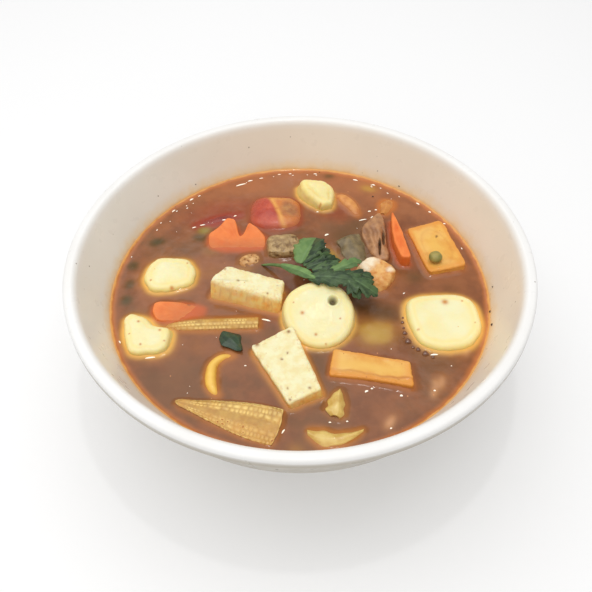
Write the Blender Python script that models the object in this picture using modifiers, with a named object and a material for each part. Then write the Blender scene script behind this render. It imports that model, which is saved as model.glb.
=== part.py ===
"""Tom yum soup in its bowl: a turned bowl, the broth up to its level, and each piece that breaks its surface.

Metres, +Z up, with the origin at the bottom centre of the bowl, on the surface it stands on. Lengths in the
calls below are in millimetres and are scaled once, by MM. A height called "top" is above the level of the
broth, and a turn is (about X, about Y, about Z) in degrees, about the middle of the piece. Each piece is made
with its room: the same shape, larger by a gap and with fewer faces, which is cut out of the broth.
"""
import math

import bmesh
import bpy
import numpy as np
from mathutils import Euler, Matrix, Vector

MM = 0.001

# Bowl
BOWL_HEIGHT = 68.0
RIM_RADIUS = 95.0
RIM_BAND = 5.6
RIM_DROP = 2.6
RIM_ROUND = 1.6
LIP_DEPTH = 4.5
LIP_EASE = 1.0
LIP_STEP = 1.0
FLANK = math.radians(67.0)
INNER_FLOOR = 7.0
INNER_KNEE = 50.0
OUTER_FLOOR = 3.5
OUTER_KNEE = 54.0
KNEE_STEPS = 5
FOOT_START = 0.23
FOOT_RADIUS = 48.0
FOOT_WIDTH = 4.0
FOOT_RECESS = 2.4
FOOT_EASE = 1.0
TURN_STEPS = 48

# Broth
LEVEL = 44.6
WALL_GAP = 0.3
PIECE_GAP = 0.5

# Pieces
EDGE = 1.0
OUTLINE_STEPS = 2
WELD = 0.00002
PEA_RADIUS = 3.3
PEA_FLAT = 0.75
LEAF_THICK = 0.8
MUSHROOM_AT = (35.7, 30.7)
SLIT_SIZE = (1.0, 9.0, 8.0)
SLITS = [(0.8, -7.5), (3.0, -1.5)]
STEM = [(-16.8, 16.7, 0.4), (-10.6, 11.7, 4.6), (-3.0, 5.0, 8.6), (3.0, -2.1, 11.4), (10.1, -4.1, 12.4)]
STEM_RADII = [0.7, 1.0, 1.4, 1.6, 1.0]


# Scene and materials ---------------------------------------------------------------------------------------

for leftover in list(bpy.data.objects):
    bpy.data.objects.remove(leftover, do_unlink=True)

soup = bpy.data.collections.new("tom_yum_soup")
cutters = bpy.data.collections.new("cutters")
rooms = bpy.data.collections.new("rooms")
bpy.context.scene.collection.children.link(soup)
bpy.context.scene.collection.children.link(cutters)
cutters.children.link(rooms)
cutters.hide_render = True


def material(name, colour, roughness=0.35):
    """A plain coloured surface for one kind of sub-part."""
    made = bpy.data.materials.new(name)
    made.use_nodes = True
    shader = made.node_tree.nodes["Principled BSDF"]
    shader.inputs["Base Color"].default_value = (*colour, 1.0)
    shader.inputs["Roughness"].default_value = roughness
    shader.inputs["Metallic"].default_value = 0.0
    return made


MELAMINE = material("white_melamine", (0.86, 0.84, 0.80), 0.25)
BROTH = material("broth", (0.32, 0.13, 0.07), 0.1)
SLICE = material("soft_white_slice", (0.95, 0.88, 0.58))
TOFU = material("tofu", (0.95, 0.86, 0.55))
FRIED = material("fried_tofu", (0.84, 0.45, 0.13))
CARROT = material("carrot", (0.92, 0.26, 0.06))
CORN = material("baby_corn", (0.83, 0.58, 0.16))
PEPPER = material("yellow_pepper", (0.90, 0.52, 0.08), 0.2)
TOMATO = material("tomato", (0.72, 0.14, 0.07), 0.2)
MEAT = material("soaked_gluten", (0.40, 0.24, 0.13))
MUSHROOM = material("mushroom", (0.28, 0.14, 0.08))
ONION = material("onion", (0.52, 0.42, 0.18), 0.2)
HERB = material("herb", (0.05, 0.15, 0.06), 0.4)
PEA = material("pea", (0.25, 0.30, 0.06), 0.3)


# Shared helpers --------------------------------------------------------------------------------------------

def mesh_from(bm, name):
    mesh = bpy.data.meshes.new(name)
    bm.to_mesh(mesh)
    bm.free()
    return mesh


def add(name, mesh, surface, group=soup):
    """A named object in a collection, with its surface and with its round faces shaded smooth."""
    mesh.materials.clear()
    mesh.materials.append(surface)
    mesh.shade_smooth()
    mesh.set_sharp_from_angle(angle=math.radians(35))
    obj = bpy.data.objects.new(name, mesh)
    group.objects.link(obj)
    return obj


def place(obj, at, top, reach, turn=(0, 0, 0)):
    """Put a piece with its middle at (x, y) and its upper side, reach above that middle, at top."""
    obj.location = Vector((at[0], at[1], LEVEL + top - reach)) * MM
    obj.rotation_euler = Euler([math.radians(angle) for angle in turn])
    return obj


def as_cutter(obj):
    obj.hide_render = True
    obj.display_type = "WIRE"
    return obj


def piece_and_room(name, surface, piece_mesh, room_mesh, at, top, reach, turn):
    """The piece, and beside it in the cutters its larger room, both at the same place."""
    piece = place(add(name, piece_mesh, surface), at, top, reach, turn)
    room = place(add("room_for_" + name, room_mesh, surface, rooms), at, top, reach, turn)
    as_cutter(room)
    return piece


def baked(obj):
    """Put the modifiers into the mesh, as a piece that is cut or joined next needs."""
    bpy.context.view_layer.update()
    graph = bpy.context.evaluated_depsgraph_get()
    mesh = bpy.data.meshes.new_from_object(obj.evaluated_get(graph))
    obj.modifiers.clear()
    obj.data = mesh
    return obj


def solid_of_curve(curve, name):
    """The mesh of a curve, with its loose caps welded and its flat faces merged."""
    guide = bpy.data.objects.new(name + "_guide", curve)
    soup.objects.link(guide)
    graph = bpy.context.evaluated_depsgraph_get()
    mesh = bpy.data.meshes.new_from_object(guide.evaluated_get(graph))
    bpy.data.objects.remove(guide, do_unlink=True)
    bm = bmesh.new()
    bm.from_mesh(mesh)
    bmesh.ops.remove_doubles(bm, verts=bm.verts, dist=WELD)
    bmesh.ops.dissolve_limit(bm, angle_limit=math.radians(0.5), verts=bm.verts, edges=bm.edges)
    bmesh.ops.recalc_face_normals(bm, faces=bm.faces)
    return mesh_from(bm, name)


def cut_flat(bm, point, normal):
    """Take off what lies beyond a plane, and close the cut."""
    whole = bm.verts[:] + bm.edges[:] + bm.faces[:]
    cut = bmesh.ops.bisect_plane(bm, geom=whole, plane_co=point, plane_no=normal, clear_outer=True)
    rim = [item for item in cut["geom_cut"] if isinstance(item, bmesh.types.BMEdge)]
    bmesh.ops.contextual_create(bm, geom=rim)
    bmesh.ops.recalc_face_normals(bm, faces=bm.faces)


# Slabs: slices and blocks ----------------------------------------------------------------------------------

def rounded(corners, softness):
    """A closed outline through rounded corners.

    Each corner becomes a quadratic arc that starts and ends a share, softness, of the way to the middles of its
    two sides: (1-t)^2 A + 2t(1-t) C + t^2 B.
    """
    corner = np.array(corners, float)
    before = corner + 0.5 * softness * (np.roll(corner, 1, axis=0) - corner)
    after = corner + 0.5 * softness * (np.roll(corner, -1, axis=0) - corner)
    first = 1 if softness >= 1.0 else 0
    points = []
    for a, c, b in zip(before, corner, after):
        for t in np.linspace(0.0, 1.0, OUTLINE_STEPS + 1)[first:]:
            points.append((1 - t) ** 2 * a + 2 * t * (1 - t) * c + t * t * b)
    return np.array(points)


def widened(outline, gap):
    """The outline moved outwards: each point goes along the normal of the chord between its neighbours."""
    chord = np.roll(outline, 1, axis=0) - np.roll(outline, -1, axis=0)
    normal = np.stack([-chord[:, 1], chord[:, 0]], axis=1)
    normal /= np.linalg.norm(normal, axis=1)[:, None]
    x, y = outline.T
    clockwise = np.sum(x * np.roll(y, -1) - y * np.roll(x, -1)) < 0
    return outline + normal * (gap if clockwise else -gap) * -1.0


def plate(outline, thick, name):
    curve = bpy.data.curves.new(name, "CURVE")
    curve.dimensions = "2D"
    curve.fill_mode = "BOTH"
    curve.extrude = thick / 2 * MM
    spline = curve.splines.new("POLY")
    spline.points.add(len(outline) - 1)
    for point, (x, y) in zip(spline.points, outline):
        point.co = (x * MM, y * MM, 0.0, 1.0)
    spline.use_cyclic_u = True
    return solid_of_curve(curve, name)


def slab(name, surface, corners, thick, at, top, turn=(0, 0, 0), softness=1.0, edge=EDGE):
    """A cut slice or block: a flat outline given its thickness, with its rims rounded."""
    outline = rounded(corners, softness)
    room_mesh = plate(widened(outline, PIECE_GAP), thick + 2 * PIECE_GAP, name + "_room")
    piece = piece_and_room(name, surface, plate(outline, thick, name), room_mesh, at, top, thick / 2, turn)
    rim = piece.modifiers.new("rounded rims", "BEVEL")
    rim.width = edge * MM
    rim.segments = 1
    rim.angle_limit = math.radians(50)
    return piece


def make_slices():
    slab(
        "round_slice_right", SLICE,
        [(-6.5, 14.6), (9, 14.4), (15.8, 6.5), (16.6, -5), (9.5, -14), (-3, -16.2), (-13, -11), (-16.5, 1), (-14, 10)],
        thick=7.5, at=(58.6, -21.1), top=3.0, turn=(2, -1, 0),
    )
    slab(
        "round_slice_centre", SLICE,
        [(-6, 15), (6.5, 15.6), (15, 8), (15.8, -4), (10, -13), (0, -15.6), (-9, -12), (-15, -3), (-15, 8)],
        thick=7, at=(7.5, -18.2), top=6.4, turn=(17.5, 0, 0),
    )
    slab(
        "white_chunk_left", SLICE,
        [(-6, 11), (7, 10.5), (12, 3), (10.5, -6), (1, -10.5), (-8, -10), (-13, -2), (-11, 6)],
        thick=12, at=(-57.0, 6.9), top=3.0, turn=(3, 2, 0), edge=1.6,
    )
    slab(
        "white_chunk_front", SLICE,
        [(-8, 11), (-1, 9), (3, 4.5), (9.5, 3), (9, -8), (4, -11), (-7, -11), (-11, -2), (-11.5, 8)],
        thick=9, at=(-62.2, -25.6), top=3.2, turn=(4, -2, 0), edge=1.6,
    )
    slab(
        "white_chunk_back", SLICE,
        [(-8.6, 8.5), (4, 9), (10, 3), (9, -8), (2, -10), (-4, -6), (-9, 0)],
        thick=13, at=(7.5, 56.7), top=5.6, turn=(8, 6, 0), edge=1.8, softness=0.8,
    )


def make_tofu():
    slab(
        "tofu_block_left", TOFU,
        [(-15.6, 4.3), (13.0, 4.6), (14.2, -4.4), (-15.8, -4.7)],
        thick=14, at=(-20.2, -3.7), top=8.2, turn=(3, 3, -15.5), softness=0.25,
    )
    slab(
        "tofu_block_front", TOFU,
        [(-15.2, 8.6), (-14.2, -8.2), (15.2, -6.2), (15.4, 6.3)],
        thick=9, at=(-4.4, -44.7), top=5.0, turn=(7.5, 0, -65), softness=0.25,
    )
    slab(
        "fried_tofu_front", FRIED,
        [(-15.6, 6), (0, 5.4), (14, 4.6), (16.6, -6.2), (0, -5.5), (-15.4, -6.4)],
        thick=10, at=(27.3, -42.5), top=3.6, turn=(4, -1, -8), softness=0.3,
    )
    slab(
        "fried_tofu_right", FRIED,
        [(-15.2, 7.2), (-14.3, -6.5), (15, -9.5), (15.4, 8.2)],
        thick=9, at=(61.9, 21.9), top=3.2, turn=(3, -2, -76), softness=0.35,
    )


def make_carrots():
    slab(
        "carrot_flower", CARROT,
        [
            (-13.2, -5.5), (-13.5, 1), (-8.5, 4.5), (-5, 9), (-1.2, 8.2), (0.8, -0.5),
            (2.8, 0.8), (5, 6.8), (9, 4), (12.8, -0.5), (13, -6.5), (4, -9), (-6, -9),
        ],
        thick=4.5, at=(-28.3, 31.3), top=3.2, turn=(28, 0, 0), softness=0.6, edge=0.6,
    )
    slab(
        "carrot_slice_left", CARROT,
        [(-10.8, 4.6), (0, 5.2), (11, 3.2), (11, -1.5), (1.5, -4.6), (-8.5, -5.6), (-11.2, -1)],
        thick=4.5, at=(-50.9, -13.1), top=0.9, turn=(6, 9, 0), softness=0.7, edge=0.7,
    )
    slab(
        "carrot_slice_edge", CARROT,
        [(-15, -3), (-13, 4.6), (0, 5.2), (13, 4.4), (15.2, -2.4), (0, -5)],
        thick=4.2, at=(45.7, 27.8), top=4.2, turn=(76, 0, -83), softness=0.6, edge=0.6,
    )


def make_mushroom():
    """A folded piece of mushroom, with the slits between its folds cut from above."""
    piece = slab(
        "mushroom_piece", MUSHROOM,
        [(-7.5, 2), (-1, 9), (3.4, 16.5), (4.6, 10), (4.2, -3), (5.2, -15), (-0.5, -16.5), (-5.5, -8)],
        thick=9, at=MUSHROOM_AT, top=3.4, turn=(2, -4, 0), softness=0.8, edge=1.4,
    )
    baked(piece)
    for number, (x, y) in enumerate(SLITS):
        bm = bmesh.new()
        bmesh.ops.create_cube(bm, size=1.0)
        bm.transform(Matrix.Diagonal((*(side * MM for side in SLIT_SIZE), 1.0)))
        slit = as_cutter(add(f"slit_{number}", mesh_from(bm, f"slit_{number}"), MUSHROOM, cutters))
        place(slit, (MUSHROOM_AT[0] + x, MUSHROOM_AT[1] + y), SLIT_SIZE[2] / 2, 0.0, (0, 0, 4))
        cut = piece.modifiers.new(f"slit {number}", "BOOLEAN")
        cut.operation = "DIFFERENCE"
        cut.object = slit


# Lumps: spongy and fried pieces ----------------------------------------------------------------------------

def cage(size, wobble, phase, name):
    """A box cut once across each way, its points pushed in and out by two slow waves."""
    bm = bmesh.new()
    bmesh.ops.create_cube(bm, size=1.0)
    bmesh.ops.subdivide_edges(bm, edges=bm.edges, cuts=1, use_grid_fill=True)
    for vertex in bm.verts:
        x, y, z = vertex.co
        wave = math.sin(7.0 * x + 4.0 * z + phase) + math.sin(6.0 * y - 5.0 * x + 2.3 * phase)
        swell = (1.0 + wobble * wave) * (1.18 - 0.12 * (abs(x) + abs(y) + abs(z)))
        vertex.co = Vector((x * size[0], y * size[1], z * size[2])) * (swell * MM)
    return mesh_from(bm, name)


def lump(name, surface, size, at, top, turn=(0, 0, 0), wobble=0.1, phase=0.0):
    """A soft uneven piece: a cage, subdivided. The cage itself, a little larger, is its room."""
    wide = [side + 2 * PIECE_GAP for side in size]
    room_mesh = cage(wide, wobble, phase, name + "_room")
    piece = piece_and_room(name, surface, cage(size, wobble, phase, name), room_mesh, at, top, size[2] / 2, turn)
    soften = piece.modifiers.new("soften", "SUBSURF")
    soften.levels = 1
    soften.render_levels = 1
    return piece


def make_lumps():
    lump("gluten_piece", MEAT, (14.5, 11.5, 9), at=(-7.3, 24.0), top=5.2, turn=(6, 0, 4), wobble=0.05, phase=0.8)
    lump("gluten_crumb", MEAT, (9.5, 6.5, 5), at=(-22.4, 16.7), top=1.6, turn=(0, 0, 30), wobble=0.06, phase=2.0)
    lump("fried_chunk", FRIED, (15, 15, 9), at=(33.3, 4.6), top=5.4, turn=(4, 3, -38), wobble=0.1, phase=4.4)


# Turned pieces: baby corn and tomato -----------------------------------------------------------------------

def turned(name, surface, profile, steps, group=soup, smooth=True):
    """A body of revolution: a profile of (radius, height) at +X, run top to bottom down its outer side."""
    mesh = bpy.data.meshes.new(name)
    points = [(radius * MM, 0.0, height * MM) for radius, height in profile]
    mesh.from_pydata(points, [(i, i + 1) for i in range(len(points) - 1)], [])
    obj = add(name, mesh, surface, group)
    spin = obj.modifiers.new("turn", "SCREW")
    spin.steps = steps
    spin.render_steps = steps
    spin.use_merge_vertices = True
    spin.merge_threshold = WELD
    spin.use_smooth_shade = smooth
    return obj


def half_cob_mesh(name, length, width, rings, around, swell, cut_at):
    """Half a cob with its cut face up and its tip at +X.

    The radius at each ring is half the width times a quarter wave, which closes the tip, times a swell on
    every second ring.
    """
    profile = [(0.0, 0.5 * length + 0.8)]
    for i in range(rings + 1):
        share = i / rings
        taper = math.sin(math.pi * min(0.5, 0.06 + 0.62 * share))
        profile.append((0.5 * width * taper * (1.0 if i % 2 else 1.0 - swell), length * (0.5 - share)))
    profile.append((0.0, -0.5 * length))
    whole = baked(turned(name, CORN, profile, around, cutters))
    bm = bmesh.new()
    bm.from_mesh(whole.data)
    bpy.data.objects.remove(whole, do_unlink=True)
    bmesh.ops.remove_doubles(bm, verts=bm.verts, dist=WELD)
    cut_flat(bm, Vector((0.0, cut_at * MM, 0.0)), Vector((0.0, 1.0, 0.0)))
    bm.transform(Matrix.Rotation(math.radians(90), 4, "Z") @ Matrix.Rotation(math.radians(90), 4, "X"))
    return mesh_from(bm, name)


def half_cob(name, length, width, at, top, reach, turn):
    mesh = half_cob_mesh(name, length, width, 14, 10, 0.07, 0.0)
    room_mesh = half_cob_mesh(name + "_room", length + 2, width + 3 * PIECE_GAP, 4, 8, 0.0, PIECE_GAP)
    return piece_and_room(name, CORN, mesh, room_mesh, at, top, reach, turn)


def wedge_mesh(name, size, tilt, depth, segments, rings):
    bm = bmesh.new()
    bmesh.ops.create_uvsphere(bm, u_segments=segments, v_segments=rings, radius=0.5 * MM)
    bm.transform(Matrix.Diagonal((*size, 1.0)))
    up = Vector((math.sin(math.radians(tilt)), -0.1, math.cos(math.radians(tilt)))).normalized()
    cut_flat(bm, up * (depth * MM), up)
    return mesh_from(bm, name)


def make_turned_pieces():
    half_cob("baby_corn_front", 40, 14.5, at=(-27.3, -64.3), top=1.6, reach=0.0, turn=(-10, 0, 163.5))
    half_cob("baby_corn_left", 41, 8.5, at=(-34.3, -20.2), top=1.6, reach=4.2, turn=(205, 0, 182))
    size = (24, 23, 22)
    wide = [side + 4 * PIECE_GAP for side in size]
    tomato = wedge_mesh("tomato_half", size, 24, 2.0, 14, 8)
    room_mesh = wedge_mesh("tomato_half_room", wide, 24, 2.0 + PIECE_GAP, 12, 6)
    piece_and_room("tomato_half", TOMATO, tomato, room_mesh, (-11.7, 48.0), -0.6, 0.0, (0, 0, 0))


# Strips: pepper and the herb's stem ------------------------------------------------------------------------

def bar(name, path, radii, flat, grow=0.0):
    """A round bar along a smooth path, with a radius at each of its points, pressed flat."""
    curve = bpy.data.curves.new(name, "CURVE")
    curve.dimensions = "3D"
    curve.bevel_depth = MM
    curve.bevel_resolution = 1
    curve.use_fill_caps = True
    curve.resolution_u = 2
    spline = curve.splines.new("NURBS")
    spline.points.add(len(path) - 1)
    for point, spot, radius in zip(spline.points, path, radii):
        point.co = (*(value * MM for value in spot), 1.0)
        point.radius = radius + grow
    ends = np.array(path, float)
    for end, inner in ((0, 1), (-1, -2)):
        outward = ends[end] - ends[inner]
        spot = ends[end] + outward * (grow / np.linalg.norm(outward))
        spline.points[end].co = (*(spot * MM), 1.0)
    spline.order_u = 3
    spline.use_endpoint_u = True
    mesh = solid_of_curve(curve, name)
    mesh.transform(Matrix.Diagonal((1.0, 1.0, flat, 1.0)))
    return mesh


def strip(name, surface, path, radii, at, top, flat=1.0):
    room_mesh = bar(name + "_room", path, radii, flat, 1.2 * PIECE_GAP)
    return piece_and_room(name, surface, bar(name, path, radii, flat), room_mesh, at, top, max(radii) * flat, (0, 0, 0))


def make_strips():
    strip(
        "yellow_pepper_strip", PEPPER,
        [(5.5, 9.5, -1), (0.5, 8.5, 0), (-3.0, 4.5, 0.6), (-3.6, -1.5, 0.6), (-2.2, -6.5, 0), (0.8, -9.4, -1.5)],
        [1.5, 2.3, 2.5, 2.6, 2.4, 1.4], at=(-31.3, -45.3), top=2.0,
    )
    strip(
        "yellow_strip_back", PEPPER,
        [(-5.5, 5.5, -1), (-2, 6, 0), (1, 2, 0), (3.4, -3, 0), (4.6, -8, -1)],
        [1.2, 1.9, 2.0, 1.8, 1.0], at=(22.6, 54.1), top=1.6, flat=0.8,
    )
    strip(
        "red_pepper_strip", TOMATO,
        [(-12, -4.5, -0.8), (-5, -2, 0), (3, 1, 0), (11, 4, -0.8)],
        [2.6, 3.4, 3.4, 2.4], at=(-37.9, 44.2), top=0.7, flat=0.6,
    )
    strip(
        "green_strip", ONION, [(-4, 6.6, -1.2), (-1.6, 2.6, 0), (1.2, -2.0, 0.2), (3.4, -6.4, -0.8)],
        [0.7, 1.5, 1.6, 0.7], at=(16.0, 14.9), top=1.4,
    )


# Sheets: petals and leaves ---------------------------------------------------------------------------------

def petal_mesh(name, size, bend, raised, across, along):
    """A sheet bent over a cylinder and narrowed at its ends, raised a little to be the room of another."""
    bm = bmesh.new()
    bmesh.ops.create_grid(bm, x_segments=across, y_segments=along, size=0.5)
    for vertex in bm.verts:
        u, v, _ = vertex.co
        x = u * size[0] * (1.0 - 1.6 * v * v)
        arch = bend * (1.0 - (2 * u) ** 2) * (1.0 - v * v)
        vertex.co = Vector((x, v * size[1], arch - 0.5 * bend + raised)) * MM
    return mesh_from(bm, name)


def petal(name, surface, size, bend, thick, at, top, turn):
    """A curved layer of onion, cabbage or leaf."""
    wide = [side + 3 * PIECE_GAP for side in size]
    mesh = petal_mesh(name, size, bend, 0.0, 4, 5)
    room_mesh = petal_mesh(name + "_room", wide, bend, PIECE_GAP, 4, 4)
    piece = piece_and_room(name, surface, mesh, room_mesh, at, top, 0.5 * bend, turn)
    for obj, depth in ((piece, thick), (rooms.objects["room_for_" + name], thick + 2 * PIECE_GAP)):
        shell = obj.modifiers.new("thickness", "SOLIDIFY")
        shell.thickness = depth * MM
        shell.offset = -1.0
    return piece


def make_petals():
    petal("onion_petal", ONION, (14, 15), 2.6, 1.8, at=(22.4, 21.8), top=2.8, turn=(8, 10, 22))
    petal("pale_petal", ONION, (7.5, 11.5), 1.8, 1.6, at=(12.9, -58.8), top=2.0, turn=(6, -14, 8))
    petal("curved_petal", ONION, (7.0, 21), 2.2, 1.8, at=(13.7, -73.2), top=0.9, turn=(0, 0, 94))
    petal("orange_petal", ONION, (6.5, 9.5), 1.4, 1.4, at=(41.8, 52.1), top=1.2, turn=(-4, 0, -20))
    petal("dark_leaf_bit", HERB, (7.5, 10.0), 1.2, 0.9, at=(-27.9, -29.1), top=1.0, turn=(2, 0, 36))


def leaf(name, root, tip, width, arch, fold=0.2, broad=1.0, lobes=0.16):
    """One leaflet between its root and its tip, as a piece of the sprig.

    A point at share t along it and s across it (-1 to 1) stands at root + t (tip - root), moved sideways by
    s times half the width times a lobed sine of t, and raised by the arch and by the fold along its rib.
    """
    start, end = Vector(root), Vector(tip)
    along = end - start
    side = Vector((-along.y, along.x, 0.0)).normalized()
    bm = bmesh.new()
    bmesh.ops.create_grid(bm, x_segments=5, y_segments=2, size=0.5)
    for vertex in bm.verts:
        t = vertex.co.x + 0.5
        s = 2.0 * vertex.co.y
        spread = math.sin(math.pi * (0.06 + 0.88 * t ** broad)) ** 0.8 * (1.0 + lobes * math.sin(12 * t + 2 * s))
        reach = 0.5 * width * spread
        lift = arch * 4.0 * t * (1.0 - t) + fold * reach * abs(s)
        vertex.co = (start + along * t + side * (s * reach) + Vector((0, 0, LEVEL + lift))) * MM
    obj = as_cutter(add(name, mesh_from(bm, name), HERB, cutters))
    shell = obj.modifiers.new("thickness", "SOLIDIFY")
    shell.thickness = LEAF_THICK * MM
    shell.offset = 0.0
    return baked(obj)


def make_herb():
    """A sprig laid over the round slice: one light stem, whose tip dips into the broth, and its leaflets."""
    reach = max(STEM_RADII)
    room_mesh = bar("herb_sprig_room", STEM[:3], STEM_RADII[:3], 1.0, 1.2 * PIECE_GAP)
    stem = bar("herb_sprig", STEM, STEM_RADII, 1.0)
    sprig = piece_and_room("herb_sprig", HERB, stem, room_mesh, (0, 0), reach, reach, (0, 0, 0))
    leaves = [
        leaf("leaf_back", (0.0, 2.6, 10.0), (5.7, 23.2, 6.4), 12.5, 1.6, fold=0.3),
        leaf("leaf_middle", (2.6, -1.1, 11.4), (18.0, 8.0, 9.2), 9.5, 1.4, fold=0.3),
        leaf("leaf_upper_right", (8.7, -3.5, 12.2), (24.2, 5.4, 9.4), 7.0, 1.2),
        leaf("leaf_right", (4.0, -4.1, 12.2), (32.1, -7.7, 8.0), 15.0, 2.0, fold=0.1, broad=1.5),
    ]
    for piece in leaves:
        union = sprig.modifiers.new(piece.name, "BOOLEAN")
        union.operation = "UNION"
        union.object = piece


def make_pea():
    """A split pea, a little flattened, resting on the fried tofu."""
    bm = bmesh.new()
    bmesh.ops.create_icosphere(bm, subdivisions=2, radius=PEA_RADIUS * MM)
    bm.transform(Matrix.Diagonal((1.0, 1.0, PEA_FLAT, 1.0)))
    pea = add("pea_on_tofu", mesh_from(bm, "pea_on_tofu"), PEA)
    place(pea, (59.9, 13.7), 4.0, -PEA_RADIUS * PEA_FLAT)


# Bowl and broth --------------------------------------------------------------------------------------------

def knee(radius_at, height_at, floor, radius, start):
    """The arc between a sloping flank and a flat floor, from the flank down to a share, start, of its sweep.

    The flank passes through (radius_at, height_at). The arc touches it and the floor: its centre stands one
    radius above the floor.
    """
    touch_height = floor + radius * (1 - math.cos(FLANK))
    touch_radius = radius_at - (height_at - touch_height) / math.tan(FLANK)
    centre = touch_radius - radius * math.sin(FLANK)
    sweep = np.linspace(1.0, start, KNEE_STEPS) * FLANK
    return [(centre + radius * math.sin(a), floor + radius * (1 - math.cos(a))) for a in sweep]


def make_bowl():
    """Rim band, outer flank, foot ring and recess, then the inner floor and flank back up to the rim."""
    top = BOWL_HEIGHT
    lip = top - LIP_DEPTH
    rim_inner = RIM_RADIUS - RIM_BAND
    rim = [
        (rim_inner + 0.5 * RIM_ROUND, top - 0.5 * RIM_ROUND),
        (rim_inner + 1.5 * RIM_ROUND, top),
        (RIM_RADIUS - RIM_ROUND, top),
        (RIM_RADIUS, top - RIM_ROUND),
        (RIM_RADIUS, lip + LIP_EASE),
        (RIM_RADIUS - LIP_STEP, lip),
    ]
    outer = knee(RIM_RADIUS - LIP_STEP, lip, OUTER_FLOOR, OUTER_KNEE, FOOT_START)
    foot = [
        (FOOT_RADIUS, FOOT_EASE),
        (FOOT_RADIUS - FOOT_EASE, 0.0),
        (FOOT_RADIUS - FOOT_WIDTH, 0.0),
        (FOOT_RADIUS - FOOT_WIDTH - FOOT_EASE, FOOT_RECESS),
        (0.0, FOOT_RECESS),
    ]
    inner = knee(rim_inner, top - RIM_DROP, INNER_FLOOR, INNER_KNEE, 0.0)
    inside = [(0.0, INNER_FLOOR)] + inner[::-1] + [(rim_inner, top - RIM_DROP)]
    return turned("bowl", MELAMINE, rim + outer + foot + inside + rim[:1], TURN_STEPS)


def make_broth():
    """The liquid from its level down to the floor of the bowl, a hair inside the wall, cut round each piece."""
    flank_radius = RIM_RADIUS - RIM_BAND - WALL_GAP / math.sin(FLANK)
    flank_height = BOWL_HEIGHT - RIM_DROP
    floor = INNER_FLOOR + WALL_GAP
    wall = knee(flank_radius, flank_height, floor, INNER_KNEE - WALL_GAP, 0.0)
    edge = (flank_radius - (flank_height - LEVEL) / math.tan(FLANK), LEVEL)
    broth = turned("broth", BROTH, [(0.0, LEVEL), edge] + wall + [(0.0, floor)], TURN_STEPS, smooth=False)
    cut = broth.modifiers.new("room for the pieces", "BOOLEAN")
    cut.operation = "DIFFERENCE"
    cut.operand_type = "COLLECTION"
    cut.collection = rooms
    return broth


make_slices()
make_tofu()
make_carrots()
make_mushroom()
make_lumps()
make_turned_pieces()
make_strips()
make_petals()
make_herb()
make_pea()
make_bowl()
make_broth()
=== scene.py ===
# %% [markdown]
# # Tom yum soup in a white bowl
#
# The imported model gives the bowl, the broth and thirty-odd pieces of food as plain solids, each at its real
# size and place. Here every one of them is dressed: it gets a finely shaped skin in the same place, and a
# finish of shader nodes. The frame is loaded first, and the numbers that the rest leans on are read from it.
# All shapes below are worked out in millimetres and turned into metres once, when a mesh is made.

# %% Load the frame
import math

import bpy
import numpy as np
from mathutils import Euler, Matrix, Vector


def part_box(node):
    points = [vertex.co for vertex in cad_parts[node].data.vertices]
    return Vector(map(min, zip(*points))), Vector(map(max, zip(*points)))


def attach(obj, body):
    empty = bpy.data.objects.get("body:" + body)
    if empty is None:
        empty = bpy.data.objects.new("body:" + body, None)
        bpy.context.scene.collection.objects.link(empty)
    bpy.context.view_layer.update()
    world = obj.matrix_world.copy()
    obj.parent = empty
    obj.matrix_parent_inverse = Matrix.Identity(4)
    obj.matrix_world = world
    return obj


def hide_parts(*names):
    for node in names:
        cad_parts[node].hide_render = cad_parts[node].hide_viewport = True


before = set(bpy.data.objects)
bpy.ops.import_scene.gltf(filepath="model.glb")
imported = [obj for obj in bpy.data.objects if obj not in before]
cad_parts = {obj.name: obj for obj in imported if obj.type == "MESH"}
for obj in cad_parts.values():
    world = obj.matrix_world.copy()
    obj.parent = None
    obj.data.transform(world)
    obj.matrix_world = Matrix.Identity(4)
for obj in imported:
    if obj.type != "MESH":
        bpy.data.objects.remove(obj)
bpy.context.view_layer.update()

MM = 0.001
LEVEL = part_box("broth")[1].z / MM
BOWL_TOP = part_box("bowl")[1].z / MM
RIM_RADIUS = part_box("bowl")[1].x / MM
print(f"bowl {2 * RIM_RADIUS:.0f} mm across and {BOWL_TOP:.0f} mm high, broth up to {LEVEL:.1f} mm")

# %% [markdown]
# ## Camera, floor and light
#
# The dish is seen from a little under fifty degrees above the table, close by, so the near wall of the bowl
# looks lower than the far one. The light is a plain pale studio: a dim even world, one wide soft lamp high
# over the back left, and one small lamp overhead. Most of the light falls from above, so the flat rim and the
# tops of the food are bright and the steep wall is a shade darker. The small lamp adds almost no light, but
# the wet slopes at the edge of each piece mirror it as small glints; most of the white glints on the broth
# are painted highlights, small pale glowing domes made further down.

# %% Camera
rim_centre = Vector((0.0, 0.0, BOWL_TOP))
eye = rim_centre + Vector((0.0, -201.5, 203.2))
aim = rim_centre + Vector((-1.4, -24.5, 0.0))
ROLL = -0.62
camera = bpy.data.objects.new("camera", bpy.data.cameras.new("camera"))
camera.data.sensor_width = 36.0
camera.data.lens = 42.57
camera.location = eye * MM
level_turn = (aim - eye).to_track_quat("-Z", "Y").to_matrix()
camera.rotation_euler = (level_turn @ Matrix.Rotation(math.radians(ROLL), 3, "Z")).to_euler()
bpy.context.scene.collection.objects.link(camera)
bpy.context.scene.camera = camera
bpy.context.scene.view_settings.view_transform = "Standard"
print(f"camera {(eye - aim).length:.0f} mm from where it aims")


# %% Lamps and world
def lamp(name, at, size, power):
    """A square area lamp at a place in millimetres, turned to face the soup."""
    made = bpy.data.objects.new(name, bpy.data.lights.new(name, "AREA"))
    made.data.size = size
    made.data.energy = power
    made.location = Vector(at) * MM
    made.rotation_euler = (Vector((0.0, 0.0, LEVEL)) - Vector(at)).to_track_quat("-Z", "Y").to_euler()
    bpy.context.scene.collection.objects.link(made)
    return made


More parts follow.
